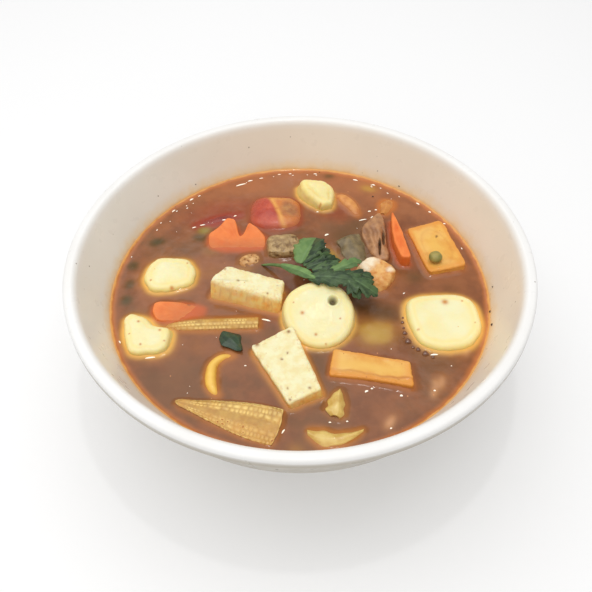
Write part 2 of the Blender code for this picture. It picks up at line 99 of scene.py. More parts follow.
lamp("wide_lamp", (-120, 120, 900), 1.1, 5.7)
lamp("front_lamp", (-60, -560, 520), 0.7, 0.8)
lamp("small_lamp", (20, 40, 900), 0.035, 0.55)

world = bpy.data.worlds.new("pale studio")
bpy.context.scene.world = world
world.use_nodes = True
world.node_tree.nodes["Background"].inputs["Color"].default_value = (1.0, 1.0, 1.0, 1.0)
world.node_tree.nodes["Background"].inputs["Strength"].default_value = 0.42


# %% [markdown]
# ## Small tools for node trees
#
# A finish is a tree of nodes. Three short helpers keep the trees readable: one adds a node and joins its
# inputs, one does arithmetic, and one blends two colours. Colours are named by their look on a screen, 0 to
# 255, and are turned into the linear light that the shaders count in.

# %% Node helpers
def tone(red, green, blue):
    """A screen colour as linear light: below 0.04 a twelfth of it, above that ((c + 0.055) / 1.055) ^ 2.4."""
    screen = np.array([red, green, blue]) / 255.0
    linear = np.where(screen < 0.04045, screen / 12.92, ((screen + 0.055) / 1.055) ** 2.4)
    return (*(float(value) for value in linear), 1.0)


def put(tree, kind, inputs=None, **settings):
    """Add a node: settings are its properties, and an input is a value or another node's output."""
    made = tree.nodes.new(kind)
    for name, value in settings.items():
        setattr(made, name, value)
    for socket, value in (inputs or {}).items():
        if isinstance(value, bpy.types.NodeSocket):
            tree.links.new(value, made.inputs[socket])
        else:
            made.inputs[socket].default_value = value
    return made


def maths(tree, operation, first, second=0.0):
    return put(tree, "ShaderNodeMath", {0: first, 1: second}, operation=operation).outputs[0]


def blend(tree, share, first, second, way="MIX"):
    """The first colour where share is 0 and the second where it is 1."""
    mix = put(tree, "ShaderNodeMix", {0: share, 6: first, 7: second}, data_type="RGBA", blend_type=way)
    return mix.outputs[2]


def fade(tree, value, start, stop, low=0.0, high=1.0):
    """Low up to start, high from stop on, and a smoothstep between."""
    inputs = {"Value": value, "From Min": start, "From Max": stop, "To Min": low, "To Max": high}
    return put(tree, "ShaderNodeMapRange", inputs, interpolation_type="SMOOTHSTEP").outputs["Result"]


def grain(tree, place, size, detail=3.0, roughness=0.5):
    """Noise whose blotches are about size millimetres across, on coordinates in metres."""
    inputs = {"Vector": place, "Scale": 1.0 / (size * MM), "Detail": detail, "Roughness": roughness}
    return put(tree, "ShaderNodeTexNoise", inputs).outputs[0]


def object_place(tree):
    return put(tree, "ShaderNodeTexCoord").outputs["Object"]


def mask(tree, name):
    """A value painted on the points of the mesh."""
    return put(tree, "ShaderNodeAttribute", attribute_name=name).outputs["Fac"]


# %% [markdown]
# ## Effects that many finishes share
#
# Four things happen all over this dish, so each is a node group, built once:
#
# - **specks**: sparse small dots, as in the melamine of the bowl, the tofu and the fried skins;
# - **soaked**: near and under the level of the broth, every piece takes on its orange;
# - **mottled**: two shades of one colour in soft blotches, because no food is one flat colour;
# - **moist**: a fine uneven relief, which breaks the gloss of a wet skin into small glints.

# %% Group maker
def new_group(name, inputs, outputs):
    """An empty node group with named sockets. Inputs are {name: (kind, value)}, outputs {name: kind}."""
    group = bpy.data.node_groups.new(name, "ShaderNodeTree")
    for label, (kind, value) in inputs.items():
        socket = group.interface.new_socket(label, in_out="INPUT", socket_type="NodeSocket" + kind)
        socket.default_value = value
    for label, kind in outputs.items():
        group.interface.new_socket(label, in_out="OUTPUT", socket_type="NodeSocket" + kind)
    return group, group.nodes.new("NodeGroupInput").outputs, group.nodes.new("NodeGroupOutput")


def placed(tree, group, inputs):
    """A shared group placed in a material, with this material's own values."""
    made = tree.nodes.new("ShaderNodeGroup")
    made.node_tree = group
    for socket, value in inputs.items():
        if isinstance(value, bpy.types.NodeSocket):
            tree.links.new(value, made.inputs[socket])
        else:
            made.inputs[socket].default_value = value
    return made


# %% Specks, soaked, mottled and moist
def make_specks():
    """Cells of random points; a cell shows its dot if its random number is under the share."""
    group, given, result = new_group(
        "specks", {"Spacing mm": ("Float", 5.0), "Radius mm": ("Float", 0.4), "Share": ("Float", 0.5)},
        {"Mask": "Float"},
    )
    cells = put(
        group, "ShaderNodeTexVoronoi",
        {"Vector": object_place(group), "Scale": maths(group, "DIVIDE", 1.0 / MM, given["Spacing mm"])},
    )
    shown = put(group, "ShaderNodeSeparateColor", {0: cells.outputs["Color"]})
    chosen = maths(group, "LESS_THAN", shown.outputs[0], given["Share"])
    ragged = maths(group, "MULTIPLY", grain(group, object_place(group), 0.5), 0.9)
    reach = maths(group, "MULTIPLY", cells.outputs["Distance"], given["Spacing mm"])
    uneven = maths(group, "MULTIPLY", given["Radius mm"], maths(group, "ADD", shown.outputs[1], 0.5))
    inside = fade(group, maths(group, "SUBTRACT", reach, ragged), 0.0, 1.0, 1.0, 0.0)
    near = fade(group, maths(group, "DIVIDE", reach, uneven), 0.6, 1.2, 1.0, 0.0)
    solid = maths(group, "MULTIPLY", near, maths(group, "ADD", maths(group, "MULTIPLY", inside, 0.3), 0.7))
    group.links.new(maths(group, "MULTIPLY", solid, chosen), result.inputs["Mask"])
    return group


def make_soaked():
    """Blend to the soak colour by height: none at Reach above the level, all at Reach below it."""
    group, given, result = new_group(
        "soaked",
        {
            "Color": ("Color", (0.8, 0.8, 0.8, 1.0)), "Soak": ("Color", (0.8, 0.3, 0.05, 1.0)),
            "Reach mm": ("Float", 1.5), "Lift mm": ("Float", 0.0),
        },
        {"Color": "Color", "Mask": "Float"},
    )
    place = object_place(group)
    height = put(group, "ShaderNodeSeparateXYZ", {0: place}).outputs["Z"]
    above = maths(group, "SUBTRACT", maths(group, "MULTIPLY", height, 1.0 / MM), LEVEL)
    above = maths(group, "SUBTRACT", above, given["Lift mm"])
    wobble = maths(group, "SUBTRACT", grain(group, place, 4.0), 0.5)
    above = maths(group, "ADD", above, maths(group, "MULTIPLY", wobble, given["Reach mm"]))
    share = maths(group, "DIVIDE", above, given["Reach mm"])
    wet = fade(group, share, -1.0, 1.0, 1.0, 0.0)
    group.links.new(blend(group, wet, given["Color"], given["Soak"]), result.inputs["Color"])
    group.links.new(wet, result.inputs["Mask"])
    return group


def make_mottled():
    """Noise, stretched about its middle, between two shades."""
    group, given, result = new_group(
        "mottled",
        {
            "First": ("Color", (0.8, 0.8, 0.8, 1.0)), "Second": ("Color", (0.6, 0.6, 0.6, 1.0)),
            "Size mm": ("Float", 5.0), "Sharpness": ("Float", 2.0),
        },
        {"Color": "Color", "Mask": "Float"},
    )
    scale = maths(group, "DIVIDE", 1.0 / MM, given["Size mm"])
    inputs = {"Vector": object_place(group), "Scale": scale, "Detail": 4.0}
    blotch = put(group, "ShaderNodeTexNoise", inputs).outputs[0]
    spread = maths(group, "MULTIPLY", maths(group, "SUBTRACT", blotch, 0.5), given["Sharpness"])
    share = fade(group, maths(group, "ADD", spread, 0.5), 0.0, 1.0)
    group.links.new(blend(group, share, given["First"], given["Second"]), result.inputs["Color"])
    group.links.new(share, result.inputs["Mask"])
    return group


def make_moist():
    """A bump of two sizes of noise, as a normal."""
    group, given, result = new_group(
        "moist", {"Size mm": ("Float", 1.0), "Depth mm": ("Float", 0.1), "Strength": ("Float", 0.5)},
        {"Normal": "Vector", "Height": "Float"},
    )
    scale = maths(group, "DIVIDE", 1.0 / MM, given["Size mm"])
    inputs = {"Vector": object_place(group), "Scale": scale, "Detail": 3.0}
    relief = put(group, "ShaderNodeTexNoise", inputs).outputs[0]
    depth = maths(group, "MULTIPLY", given["Depth mm"], MM)
    bump = put(group, "ShaderNodeBump", {"Strength": given["Strength"], "Distance": depth, "Height": relief})
    group.links.new(bump.outputs[0], result.inputs["Normal"])
    group.links.new(relief, result.inputs["Height"])
    return group


SPECKS = make_specks()
SOAKED = make_soaked()
MOTTLED = make_mottled()
MOIST = make_moist()
SOAK = tone(214, 128, 52)
print("shared effects:", ", ".join(group.name for group in bpy.data.node_groups))


# %% A finish for food
def finish(name, colour, rough=0.4, coat=0.1, grain_mm=1.0, depth_mm=0.12, strength=0.5, soft=0.0):
    """A moist surface, which mirrors as water does.

    colour is a function that builds the colour in the tree and returns its socket.
    """
    made = bpy.data.materials.new(name)
    made.use_nodes = True
    tree = made.node_tree
    shader = tree.nodes["Principled BSDF"]
    moist = placed(tree, MOIST, {"Size mm": grain_mm, "Depth mm": depth_mm, "Strength": strength})
    tree.links.new(moist.outputs["Normal"], shader.inputs["Normal"])
    tree.links.new(colour(tree), shader.inputs["Base Color"])
    spread = fade(tree, moist.outputs["Height"], 0.3, 0.7, rough - 0.08, rough + 0.1)
    tree.links.new(spread, shader.inputs["Roughness"])
    shader.inputs["IOR"].default_value = 1.36
    shader.inputs["Coat Weight"].default_value = coat
    shader.inputs["Coat Roughness"].default_value = 0.12
    if soft:
        shader.inputs["Subsurface Weight"].default_value = soft
        shader.inputs["Subsurface Radius"].default_value = (1.0, 0.75, 0.4)
        shader.inputs["Subsurface Scale"].default_value = 3.0 * MM
    return made


def mottle(tree, first, second, size=5.0, sharpness=2.0):
    inputs = {"First": first, "Second": second, "Size mm": size, "Sharpness": sharpness}
    return placed(tree, MOTTLED, inputs).outputs["Color"]


def soak(tree, colour, reach=1.5, lift=0.0, to=SOAK):
    inputs = {"Color": colour, "Soak": to, "Reach mm": reach, "Lift mm": lift}
    return placed(tree, SOAKED, inputs).outputs["Color"]


def speckle(tree, colour, dot, spacing, radius, share):
    dots = placed(tree, SPECKS, {"Spacing mm": spacing, "Radius mm": radius, "Share": share})
    return blend(tree, dots.outputs["Mask"], colour, dot)


# %% [markdown]
# ## Small tools for shapes
#
# Almost every piece is a closed skin: a grid of rings and columns, with one ring round the piece at each step
# from the middle of its top, over its rim, to the middle of its underside. Such a grid is worked out as one
# array, so it can be bent, dented and roughened with a few array sums, and its faces always follow the same
# rule. A point at each end closes it.

# %% Noise, turning and fitting
def noise(points, size, seed=0):
    """Smooth noise from -1 to 1.

    Random numbers stand on the corners of a lattice of cubes, size millimetres wide, and are blended by a
    smoothstep, 3f^2 - 2f^3, of the place inside each cube.
    """
    place = points / size + 17.31 * (seed + 1)
    cell = np.floor(place)
    inside = place - cell
    weight = inside * inside * (3.0 - 2.0 * inside)
    total = np.zeros(points.shape[:-1])
    for corner in np.ndindex(2, 2, 2):
        key = (cell + corner) @ np.array([127.1, 311.7, 74.7])
        value = np.modf(np.abs(np.sin(key)) * 43758.5453)[0]
        total += np.where(corner, weight, 1.0 - weight).prod(axis=-1) * value
    return 2.0 * total - 1.0


def rough_noise(points, size, seed=0):
    """Three layers of noise, each half the size and half the height of the one before."""
    return sum(noise(points, size / 2**layer, seed + layer) / 2**layer for layer in range(3)) / 1.75


def turned(points, degrees):
    """Points turned about X, then Y, then Z."""
    return points @ np.array(Euler(np.radians(degrees)).to_matrix()).T


def fitted(points, node, shift=((0, 0, 0), (0, 0, 0))):
    """Points stretched a little and moved, so that they fill the box of the node in the frame.

    shift moves the low and the high corner of that box by a few millimetres.
    """
    low, high = (np.array(corner) / MM + move for corner, move in zip(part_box(node), shift))
    flat = points.reshape(-1, 3)
    own_low, own_high = flat.min(axis=0), flat.max(axis=0)
    return low + (points - own_low) * (high - low) / (own_high - own_low)


def normals_of(grid):
    """Outward normals of a closed skin: the step to the next ring crossed with the step to the next column."""
    around = np.roll(grid, -1, axis=1) - np.roll(grid, 1, axis=1)
    onward = np.gradient(grid, axis=0)
    normal = np.cross(onward, around)
    return normal / np.maximum(np.linalg.norm(normal, axis=-1, keepdims=True), 1e-9)


def roughened(grid, height, size, seed=0):
    """A skin moved along its normals by rough noise."""
    return grid + normals_of(grid) * (height * rough_noise(grid, size, seed))[..., None]


# %% From arrays to meshes
def mesh_piece(name, points, *face_groups):
    """A mesh from points in millimetres and one or more arrays of faces of equal length."""
    mesh = bpy.data.meshes.new(name)
    corners = np.concatenate([faces.ravel() for faces in face_groups])
    sizes = np.concatenate([np.full(len(faces), faces.shape[1]) for faces in face_groups])
    mesh.vertices.add(len(points))
    mesh.vertices.foreach_set("co", (points * MM).ravel().astype(np.float32))
    mesh.loops.add(len(corners))
    mesh.loops.foreach_set("vertex_index", corners.astype(np.int32))
    mesh.polygons.add(len(sizes))
    mesh.polygons.foreach_set("loop_start", (np.cumsum(sizes) - sizes).astype(np.int32))
    mesh.update(calc_edges=True)
    mesh.shade_smooth()
    made = bpy.data.objects.new(name, mesh)
    bpy.context.scene.collection.objects.link(made)
    return made


def closed_faces(rings, columns):
    """Quads between neighbouring rings, and a fan of triangles to a pole at each end."""
    ring, column = np.meshgrid(np.arange(rings - 1), np.arange(columns), indexing="ij")
    here = ring * columns + column
    beside = ring * columns + (column + 1) % columns
    quads = np.stack([here, here + columns, beside + columns, beside], axis=-1).reshape(-1, 4)
    around = np.arange(columns)
    after = (around + 1) % columns
    last_ring = (rings - 1) * columns
    top = np.stack([np.full(columns, rings * columns), around, after], axis=1)
    bottom = np.stack([np.full(columns, rings * columns + 1), last_ring + after, last_ring + around], axis=1)
    return quads, np.concatenate([top, bottom])


def with_poles(grid):
    """The values of a grid in one list, with the mean of the first and of the last ring at its end."""
    flat = grid.reshape(-1, *grid.shape[2:])
    return np.concatenate([flat, grid[:1].mean(axis=1), grid[-1:].mean(axis=1)])


def skin(name, grid):
    rings, columns, _ = grid.shape
    return mesh_piece(name, with_poles(grid), *closed_faces(rings, columns))


def paint(piece, **values):
    """Masks on the points of a piece, one number a point. A grid of values gets its two poles added."""
    for name, value in values.items():
        flat = with_poles(value) if value.ndim == 2 else value
        layer = piece.data.attributes.new(name, "FLOAT", "POINT")
        layer.data.foreach_set("value", flat.astype(np.float32))


under_glass = []


def sampled(piece, steps=4):
    """Points in millimetres all over a mesh: steps by steps in each face, blended from its four corners.

    With shares s and t: (1-s)(1-t) A + s(1-t) B + s t C + (1-s) t D. A triangle counts its last corner twice.
    """
    mesh = piece.data
    points = np.empty(len(mesh.vertices) * 3, np.float32)
    starts, totals = np.empty((2, len(mesh.polygons)), np.int32)
    corners = np.empty(len(mesh.loops), np.int32)
    mesh.vertices.foreach_get("co", points)
    mesh.polygons.foreach_get("loop_start", starts)
    mesh.polygons.foreach_get("loop_total", totals)
    mesh.loops.foreach_get("vertex_index", corners)
    quads = corners[starts[:, None] + np.where(totals[:, None] == 4, [0, 1, 2, 3], [0, 1, 2, 2])]
    a, b, c, d = points.reshape(-1, 3)[quads.T][:, :, None]
    share = (np.arange(steps) + 0.5) / steps
    s, t = (grid.ravel()[None, :, None] for grid in np.meshgrid(share, share))
    blended = (1 - s) * (1 - t) * a + s * (1 - t) * b + s * t * c + (1 - s) * t * d
    return blended.reshape(-1, 3).astype(float) / MM


def dress(piece, surface, node=None, shade=None):
    """Give a piece its finish, let it ride with the dish, and stand it in for its node.

    shade is the piece's main colour. The broth, which is made last, uses it where it covers the piece.
    """
    piece.data.materials.append(surface)
    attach(piece, "root")
    if node:
        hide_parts(node)
    if shade:
        under_glass.append((sampled(piece), np.array(shade[:3])))
    print(f"{piece.name}: {len(piece.data.polygons)} faces")
    return piece


# %% [markdown]
# ## The bowl
#
# The bowl is moulded white melamine with fine grey specks. It is a body of revolution, so one profile, drawn
# from the middle of its floor up the inner wall, over the rim and down to the foot, is carried round. Its
# corners are eased by short arcs, and its sizes are those of the node, with many more steps round it, so
# that the rim is a true circle. Just above the broth the wall is stained by a thin oily orange tide line. The
# inner wall is painted with a warm bounce light from the broth, and the outer wall under the rim with shade.

# %% Bowl shape
FLANK_TURN = 67.0
FLANK = math.radians(FLANK_TURN)
INNER_RIM = RIM_RADIUS - 5.6
INNER_EDGE = BOWL_TOP - 2.6


def arc(centre, radius, start, stop, steps):
    """Points round a centre, from one angle to another, in degrees from the outward radius."""
    angle = np.radians(np.linspace(start, stop, steps))
    return np.stack([centre[0] + radius * np.cos(angle), centre[1] + radius * np.sin(angle)], axis=1)


def bend(start, corner, stop, steps=9):
    """A quadratic arc from start to stop, drawn toward a corner: (1-t)^2 A + 2t(1-t) C + t^2 B."""
    t = np.linspace(0.0, 1.0, steps)[:, None]
    start, corner, stop = (np.array(spot, float) for spot in (start, corner, stop))
    return (1 - t) ** 2 * start + 2 * t * (1 - t) * corner + t**2 * stop


def eased(corners, cut):
    """An open path whose inner corners become arcs, each cut millimetres long on both sides."""
    path = [np.array(corners[:1], float)]
    for before, corner, after in zip(corners, corners[1:], corners[2:]):
        before, corner, after = (np.array(spot, float) for spot in (before, corner, after))
        start = corner + (before - corner) * min(0.5, cut / np.linalg.norm(before - corner))
        stop = corner + (after - corner) * min(0.5, cut / np.linalg.norm(after - corner))
        path.append(bend(start, corner, stop, 6))
    path.append(np.array(corners[-1:], float))
    return np.concatenate(path)


def knee_centre(height_at, radius_at, floor, radius):
    """Where the centre of the arc stands that joins the flank to a flat floor."""
    touch = floor + radius * (1 - math.cos(FLANK))
    return radius_at - (height_at - touch) / math.tan(FLANK) - radius * math.sin(FLANK)


def bowl_profile():
    floor, rim, lip = 7.0, BOWL_TOP, BOWL_TOP - 4.5
    swing = FLANK_TURN - 90.0
    inner = arc((knee_centre(INNER_EDGE, INNER_RIM, floor, 50.0), floor + 50.0), 50.0, -90.0, swing, 18)
    outer = arc((knee_centre(lip, RIM_RADIUS - 1.0, 3.5, 54.0), 57.5), 54.0, swing, -74.6, 14)
    flat = np.stack([np.linspace(0.6, inner[0, 0] - 2.0, 6), np.full(6, floor)], axis=1)
    steps = np.linspace(0.12, 0.94, 9)[:, None]
    wall = inner[-1] + steps * (np.array([INNER_RIM, INNER_EDGE]) - inner[-1])
    top = bend((INNER_RIM, INNER_EDGE), (INNER_RIM + 1.1, rim), (INNER_RIM + 2.8, rim), 12)
    edge = bend((RIM_RADIUS - 1.8, rim), (RIM_RADIUS, rim), (RIM_RADIUS, rim - 1.8), 10)
    lip_corners = [(RIM_RADIUS, lip + 1.6), (RIM_RADIUS, lip), (RIM_RADIUS - 1.0, lip - 0.3), outer[0] + (1.5, 5.0)]
    foot = eased([outer[-1], (48.0, 1.0), (47.3, 0.0), (43.7, 0.0), (42.8, 2.4), (38.5, 2.4)], 0.6)
    recess = np.stack([np.linspace(36.0, 0.6, 6), np.full(6, 2.4)], axis=1)
    return np.concatenate([flat, inner, wall, top, edge, eased(lip_corners, 0.9), outer, foot[1:], recess])


def revolved(profile, columns):
    angle = np.linspace(0.0, 2 * np.pi, columns, endpoint=False)
    radius, height = profile[:, :1], profile[:, 1:]
    across = radius * np.cos(angle), radius * np.sin(angle)
    return np.stack([*across, np.broadcast_to(height, across[0].shape)], axis=-1)


# %% Bowl finish
def melamine_colour(tree):
    """White with grey specks, a painted warm bounce light inside, an orange stain above the broth, painted shade
    outside.
    """
    white = mottle(tree, tone(250, 249, 247), tone(243, 241, 237), 30.0, 1.5)
    fine = speckle(tree, white, tone(184, 177, 166), 5.2, 0.3, 0.5)
    coarse = speckle(tree, fine, tone(168, 161, 150), 13.0, 0.42, 0.3)
    place = put(tree, "ShaderNodeSeparateXYZ", {0: object_place(tree)})
    # Painted bounce light: the inside is tinted warmer toward the back right, as by light thrown off the broth.
    lean = maths(tree, "ADD", place.outputs["X"], place.outputs["Y"])
    glow = blend(tree, fade(tree, lean, -60.0 * MM, 70.0 * MM), tone(255, 254, 246), tone(253, 241, 224))
    bounce_tinted = blend(tree, 1.0, coarse, glow, "MULTIPLY")
    film = soak(tree, bounce_tinted, reach=4.5, lift=2.6, to=tone(244, 214, 160))
    stain = soak(tree, film, reach=1.5, lift=0.9, to=tone(240, 182, 108))
    line = soak(tree, stain, reach=0.5, lift=0.4, to=tone(196, 122, 56))
    # Painted shade: the outer wall below the rim is a darker grey.
    painted_shade_outside = blend(tree, mask(tree, "outside"), coarse, tone(190, 182, 168))
    return blend(tree, mask(tree, "inside"), painted_shade_outside, line)


melamine = finish("white melamine", melamine_colour, rough=0.34, coat=0.15, grain_mm=6.0, depth_mm=0.05, strength=0.3)
bowl_skin = revolved(bowl_profile(), 256)
bowl = skin("melamine_bowl", bowl_skin)
ring_number = np.arange(len(bowl_skin))[:, None]
before_rim = ring_number < bowl_skin[:, :1, 2].argmax()
below_rim = BOWL_TOP - bowl_skin[..., 2]
# inside: the inner wall from the rim down, which takes the painted bounce light and the stain.
inside = np.where(before_rim, np.clip(below_rim / 3.5, 0.0, 1.0), 0.0)
# outside: the outer wall below the rim, where the finish paints shade.
outside = np.where(before_rim, 0.0, np.clip(below_rim - 1.2, 0.0, 1.0))
paint(bowl, inside=inside, outside=outside)
dress(bowl, melamine, "bowl")


# %% [markdown]
# ## Slabs: slices, blocks and cut vegetables
#
# Most pieces were cut with a knife: a flat outline with some thickness. The outline is a ring of a few
# corners, rounded by arcs and then spaced evenly. The skin runs from the middle of the top out to the rim,
# round the rim, down the side and in along the underside. A slope widens the piece under its top, as on a
# chunk whose sides spread out below the broth.

# %% Slab shape
def outline(corners, softness, count):
    """A closed outline through rounded corners, at even steps.

    Each corner becomes a quadratic arc, (1-t)^2 A + 2t(1-t) C + t^2 B, that starts and ends a share, softness,
    of the way to the middles of its two sides. The outline runs anticlockwise.
    """
    corner = np.array(corners, float)
    x, y = corner.T
    if np.sum(x * np.roll(y, -1) - y * np.roll(x, -1)) < 0:
        corner = corner[::-1]
    before = corner + 0.5 * softness * (np.roll(corner, 1, axis=0) - corner)
    after = corner + 0.5 * softness * (np.roll(corner, -1, axis=0) - corner)
    t = np.linspace(0.0, 1.0, 9)[:, None, None]
    bends = (1 - t) ** 2 * before + 2 * t * (1 - t) * corner + t**2 * after
    path = bends.transpose(1, 0, 2).reshape(-1, 2)
    path = np.concatenate([path, path[:1]])
    length = np.concatenate([[0.0], np.cumsum(np.linalg.norm(np.diff(path, axis=0), axis=1))])
    even = np.linspace(0.0, length[-1], count, endpoint=False)
    return np.stack([np.interp(even, length, path[:, 0]), np.interp(even, length, path[:, 1])], axis=1)


def slab(corners, thick, softness=1.0, edge=0.9, slope=0.0, crown=0.0, columns=168, top_rings=26, heart=None):
    """The skin of a slab about its own middle, and its masks.

    A ring of the rim lies at the outline less an inset along its normal. Round the rim the inset and the
    height follow a quarter circle of radius edge; down the side the inset falls from slope to nothing. The
    normals are first averaged over twice the inset on both sides, so that no corner folds over itself.
    Rings of the top are the innermost rim ring scaled about the heart. crown raises the middle of the top.
    """
    path = outline(corners, softness, columns)
    chord = np.roll(path, -1, axis=0) - np.roll(path, 1, axis=0)
    normal = np.stack([chord[:, 1], -chord[:, 0]], axis=1)
    normal /= np.linalg.norm(normal, axis=1, keepdims=True)
    reach = int(2.0 * (slope + edge) / np.linalg.norm(path[1] - path[0])) + 1
    normal = np.mean([np.roll(normal, step, axis=0) for step in range(-reach, reach + 1)], axis=0)
    turn = np.radians(np.linspace(0.0, 90.0, 7))
    down = np.linspace(0.0, 1.0, 9)[1:-1]
    side_height = thick - 2 * edge
    inset = np.concatenate([
        slope + edge * (1 - np.sin(turn)), slope * (1 - down) ** 1.2, edge * (1 - np.cos(turn)),
    ])
    height = 0.5 * thick - np.concatenate([
        edge * (1 - np.cos(turn)), edge + side_height * down, thick - edge + edge * np.sin(turn),
    ])
    rim = path[None] - inset[:, None, None] * normal[None]
    heart = path.mean(axis=0) if heart is None else np.array(heart, float)
    grow = np.linspace(0.0, 1.0, top_rings + 1)[1:-1] ** 0.8
    top = heart + grow[:, None, None] * (rim[:1] - heart)
    under = heart + grow[::-3, None, None] * (rim[-1:] - heart)
    plan = np.concatenate([top, rim, under])
    level = np.concatenate([np.full(len(top), 0.5 * thick), height, np.full(len(under), -0.5 * thick)])
    share = np.concatenate([grow, np.ones(len(rim)), grow[::-3]])
    own = np.concatenate([plan, np.broadcast_to(level[:, None, None], (*plan.shape[:2], 1))], axis=-1)
    is_top = (level > 0)[:, None]
    own[..., 2] += crown * (1 - share[:, None] ** 2) * np.where(is_top, 1.0, 0.3)
    size = np.linalg.norm(path - heart, axis=1).mean()
    away = np.where(level > 0.5 * thick - 1e-6, (1 - share) * size, 0.5 * thick - level)
    masks = {
        "rim": np.exp(-(((away - 0.4 * edge) / 1.3) ** 2))[:, None] * np.ones(columns),
        "side": np.clip(away / (edge + 0.6), 0, 1)[:, None] * (share > 0.99)[:, None] * np.ones(columns),
    }
    return own, masks


def spots(own, places):
    """A mask of soft round spots: for each (x, y, radius), exp(-(distance / radius)^2) on the top side."""
    total = np.zeros(own.shape[:-1])
    for x, y, radius in places:
        total += np.exp(-((own[..., 0] - x) ** 2 + (own[..., 1] - y) ** 2) / radius**2)
    return np.clip(total, 0, 1) * (own[..., 2] > 0)


# %% [markdown]
# ## Soft white slices and chunks
#
# Two round slices and three chunks are cream white and smooth, yellower toward their edges, with a few small
# orange-brown flecks. The slice in the middle has a small round hole, whose inside is painted dark as shade.
# Where a chunk slips under the broth its white turns yellow and then orange, because light that crosses a
# film of orange liquid keeps its red and loses its blue; the finish does this by height above the level.

# %% Slice finish
CREAM = tone(243, 238, 194)
HALO = tone(255, 210, 120)


def slice_colour(tree):
    flesh = mottle(tree, CREAM, tone(243, 232, 174), 9.0, 2.4)
    edged = blend(tree, maths(tree, "MULTIPLY", mask(tree, "rim"), 0.45), flesh, tone(255, 226, 138))
    flank = blend(tree, maths(tree, "MULTIPLY", mask(tree, "side"), 0.6), edged, tone(255, 218, 122))
    yellow = soak(tree, flank, reach=1.8, lift=1.4, to=tone(255, 222, 126))
    orange = soak(tree, yellow, reach=1.0, lift=0.2, to=tone(255, 200, 100))
    dotted = speckle(tree, orange, tone(232, 196, 120), 4.6, 0.22, 0.25)
    marked = blend(tree, mask(tree, "fleck"), dotted, tone(206, 136, 64))
    # The hollow of the centre slice's hole is painted dark brown, as painted shade.
    return blend(tree, mask(tree, "hollow"), marked, tone(112, 96, 58))


def warm_slice_colour(tree):
    return blend(tree, 0.3, slice_colour(tree), tone(255, 240, 176), "MULTIPLY")


slice_finish = finish("soft white slice", slice_colour, rough=0.45, coat=0.06, grain_mm=1.6, depth_mm=0.1, soft=0.5)
warm_finish = finish("yellow white chunk", warm_slice_colour, rough=0.45, coat=0.06, grain_mm=1.6, depth_mm=0.1, soft=0.5)


# %% Slices and chunks
def make_slice(
    node, own, masks, turn, surface=slice_finish, flecks=(), rough=0.12, shade=HALO, seed=0, shift=((0, 0, 0), (0, 0, 0))
):
    """Roughen, turn and fit a white piece, and paint its masks."""
    own = roughened(own, rough, 5.0, seed)
    own = roughened(own, 0.35 * rough, 1.3, seed + 5)
    piece = skin(node + "_skin", fitted(turned(own, turn), node, shift))
    masks.setdefault("hollow", np.zeros(own.shape[:-1]))
    paint(piece, fleck=spots(own, flecks), **masks)
    return dress(piece, surface, node, shade=shade)


def make_round_slices():
    own, masks = slab(
        [(-8.5, 14.8), (8, 15.2), (15.4, 10), (16.8, -5), (9.5, -14.4), (-3, -16.2), (-12.4, -12), (-16.2, 1), (-15.4, 11)],
        7.5, edge=2.6, crown=0.2, slope=1.4, softness=0.8, columns=200, top_rings=32,
    )
    make_slice(
        "round_slice_right", own, masks, (2, -1, 0), seed=1, shift=((0.2, 0.8, 0), (1.4, 2.6, 0)),
        flecks=[(-10.8, -5.0, 0.5), (1.5, 8.6, 1.3), (8.5, 9.0, 0.4), (12.0, -2.0, 0.3)],
    )
    own, masks = slab(
        [(-6, 15), (6.5, 15.6), (15, 8), (15.8, -4), (10, -13), (0, -15.6), (-9, -12), (-15, -3), (-15, 8)],
        7.0, edge=2.2, crown=0.2, slope=0.6, columns=200, top_rings=40,
    )
    reach = np.hypot(own[..., 0] - 6.2, own[..., 1] - 5.6)
    hole = np.clip(1.35 - reach / 1.9, 0, 1) * (own[..., 2] > 0)
    hole = hole * hole * (3 - 2 * hole)
    own[..., 2] -= 2.6 * hole
    own[..., 2] += 0.22 * np.exp(-(((reach - 2.6) / 0.6) ** 2)) * (own[..., 2] > 0)
    # The hole's mask, where the finish paints its shade.
    masks["hollow"] = hole**1.5
    make_slice(
        "round_slice_centre", own, masks, (17.5, 0, 0), seed=2,
        flecks=[(-6.4, 0.5, 0.8), (-1.0, -8.6, 0.6), (9.0, -2.0, 0.4), (-10.0, 5.0, 0.3), (3.0, -12.6, 0.35)],
    )


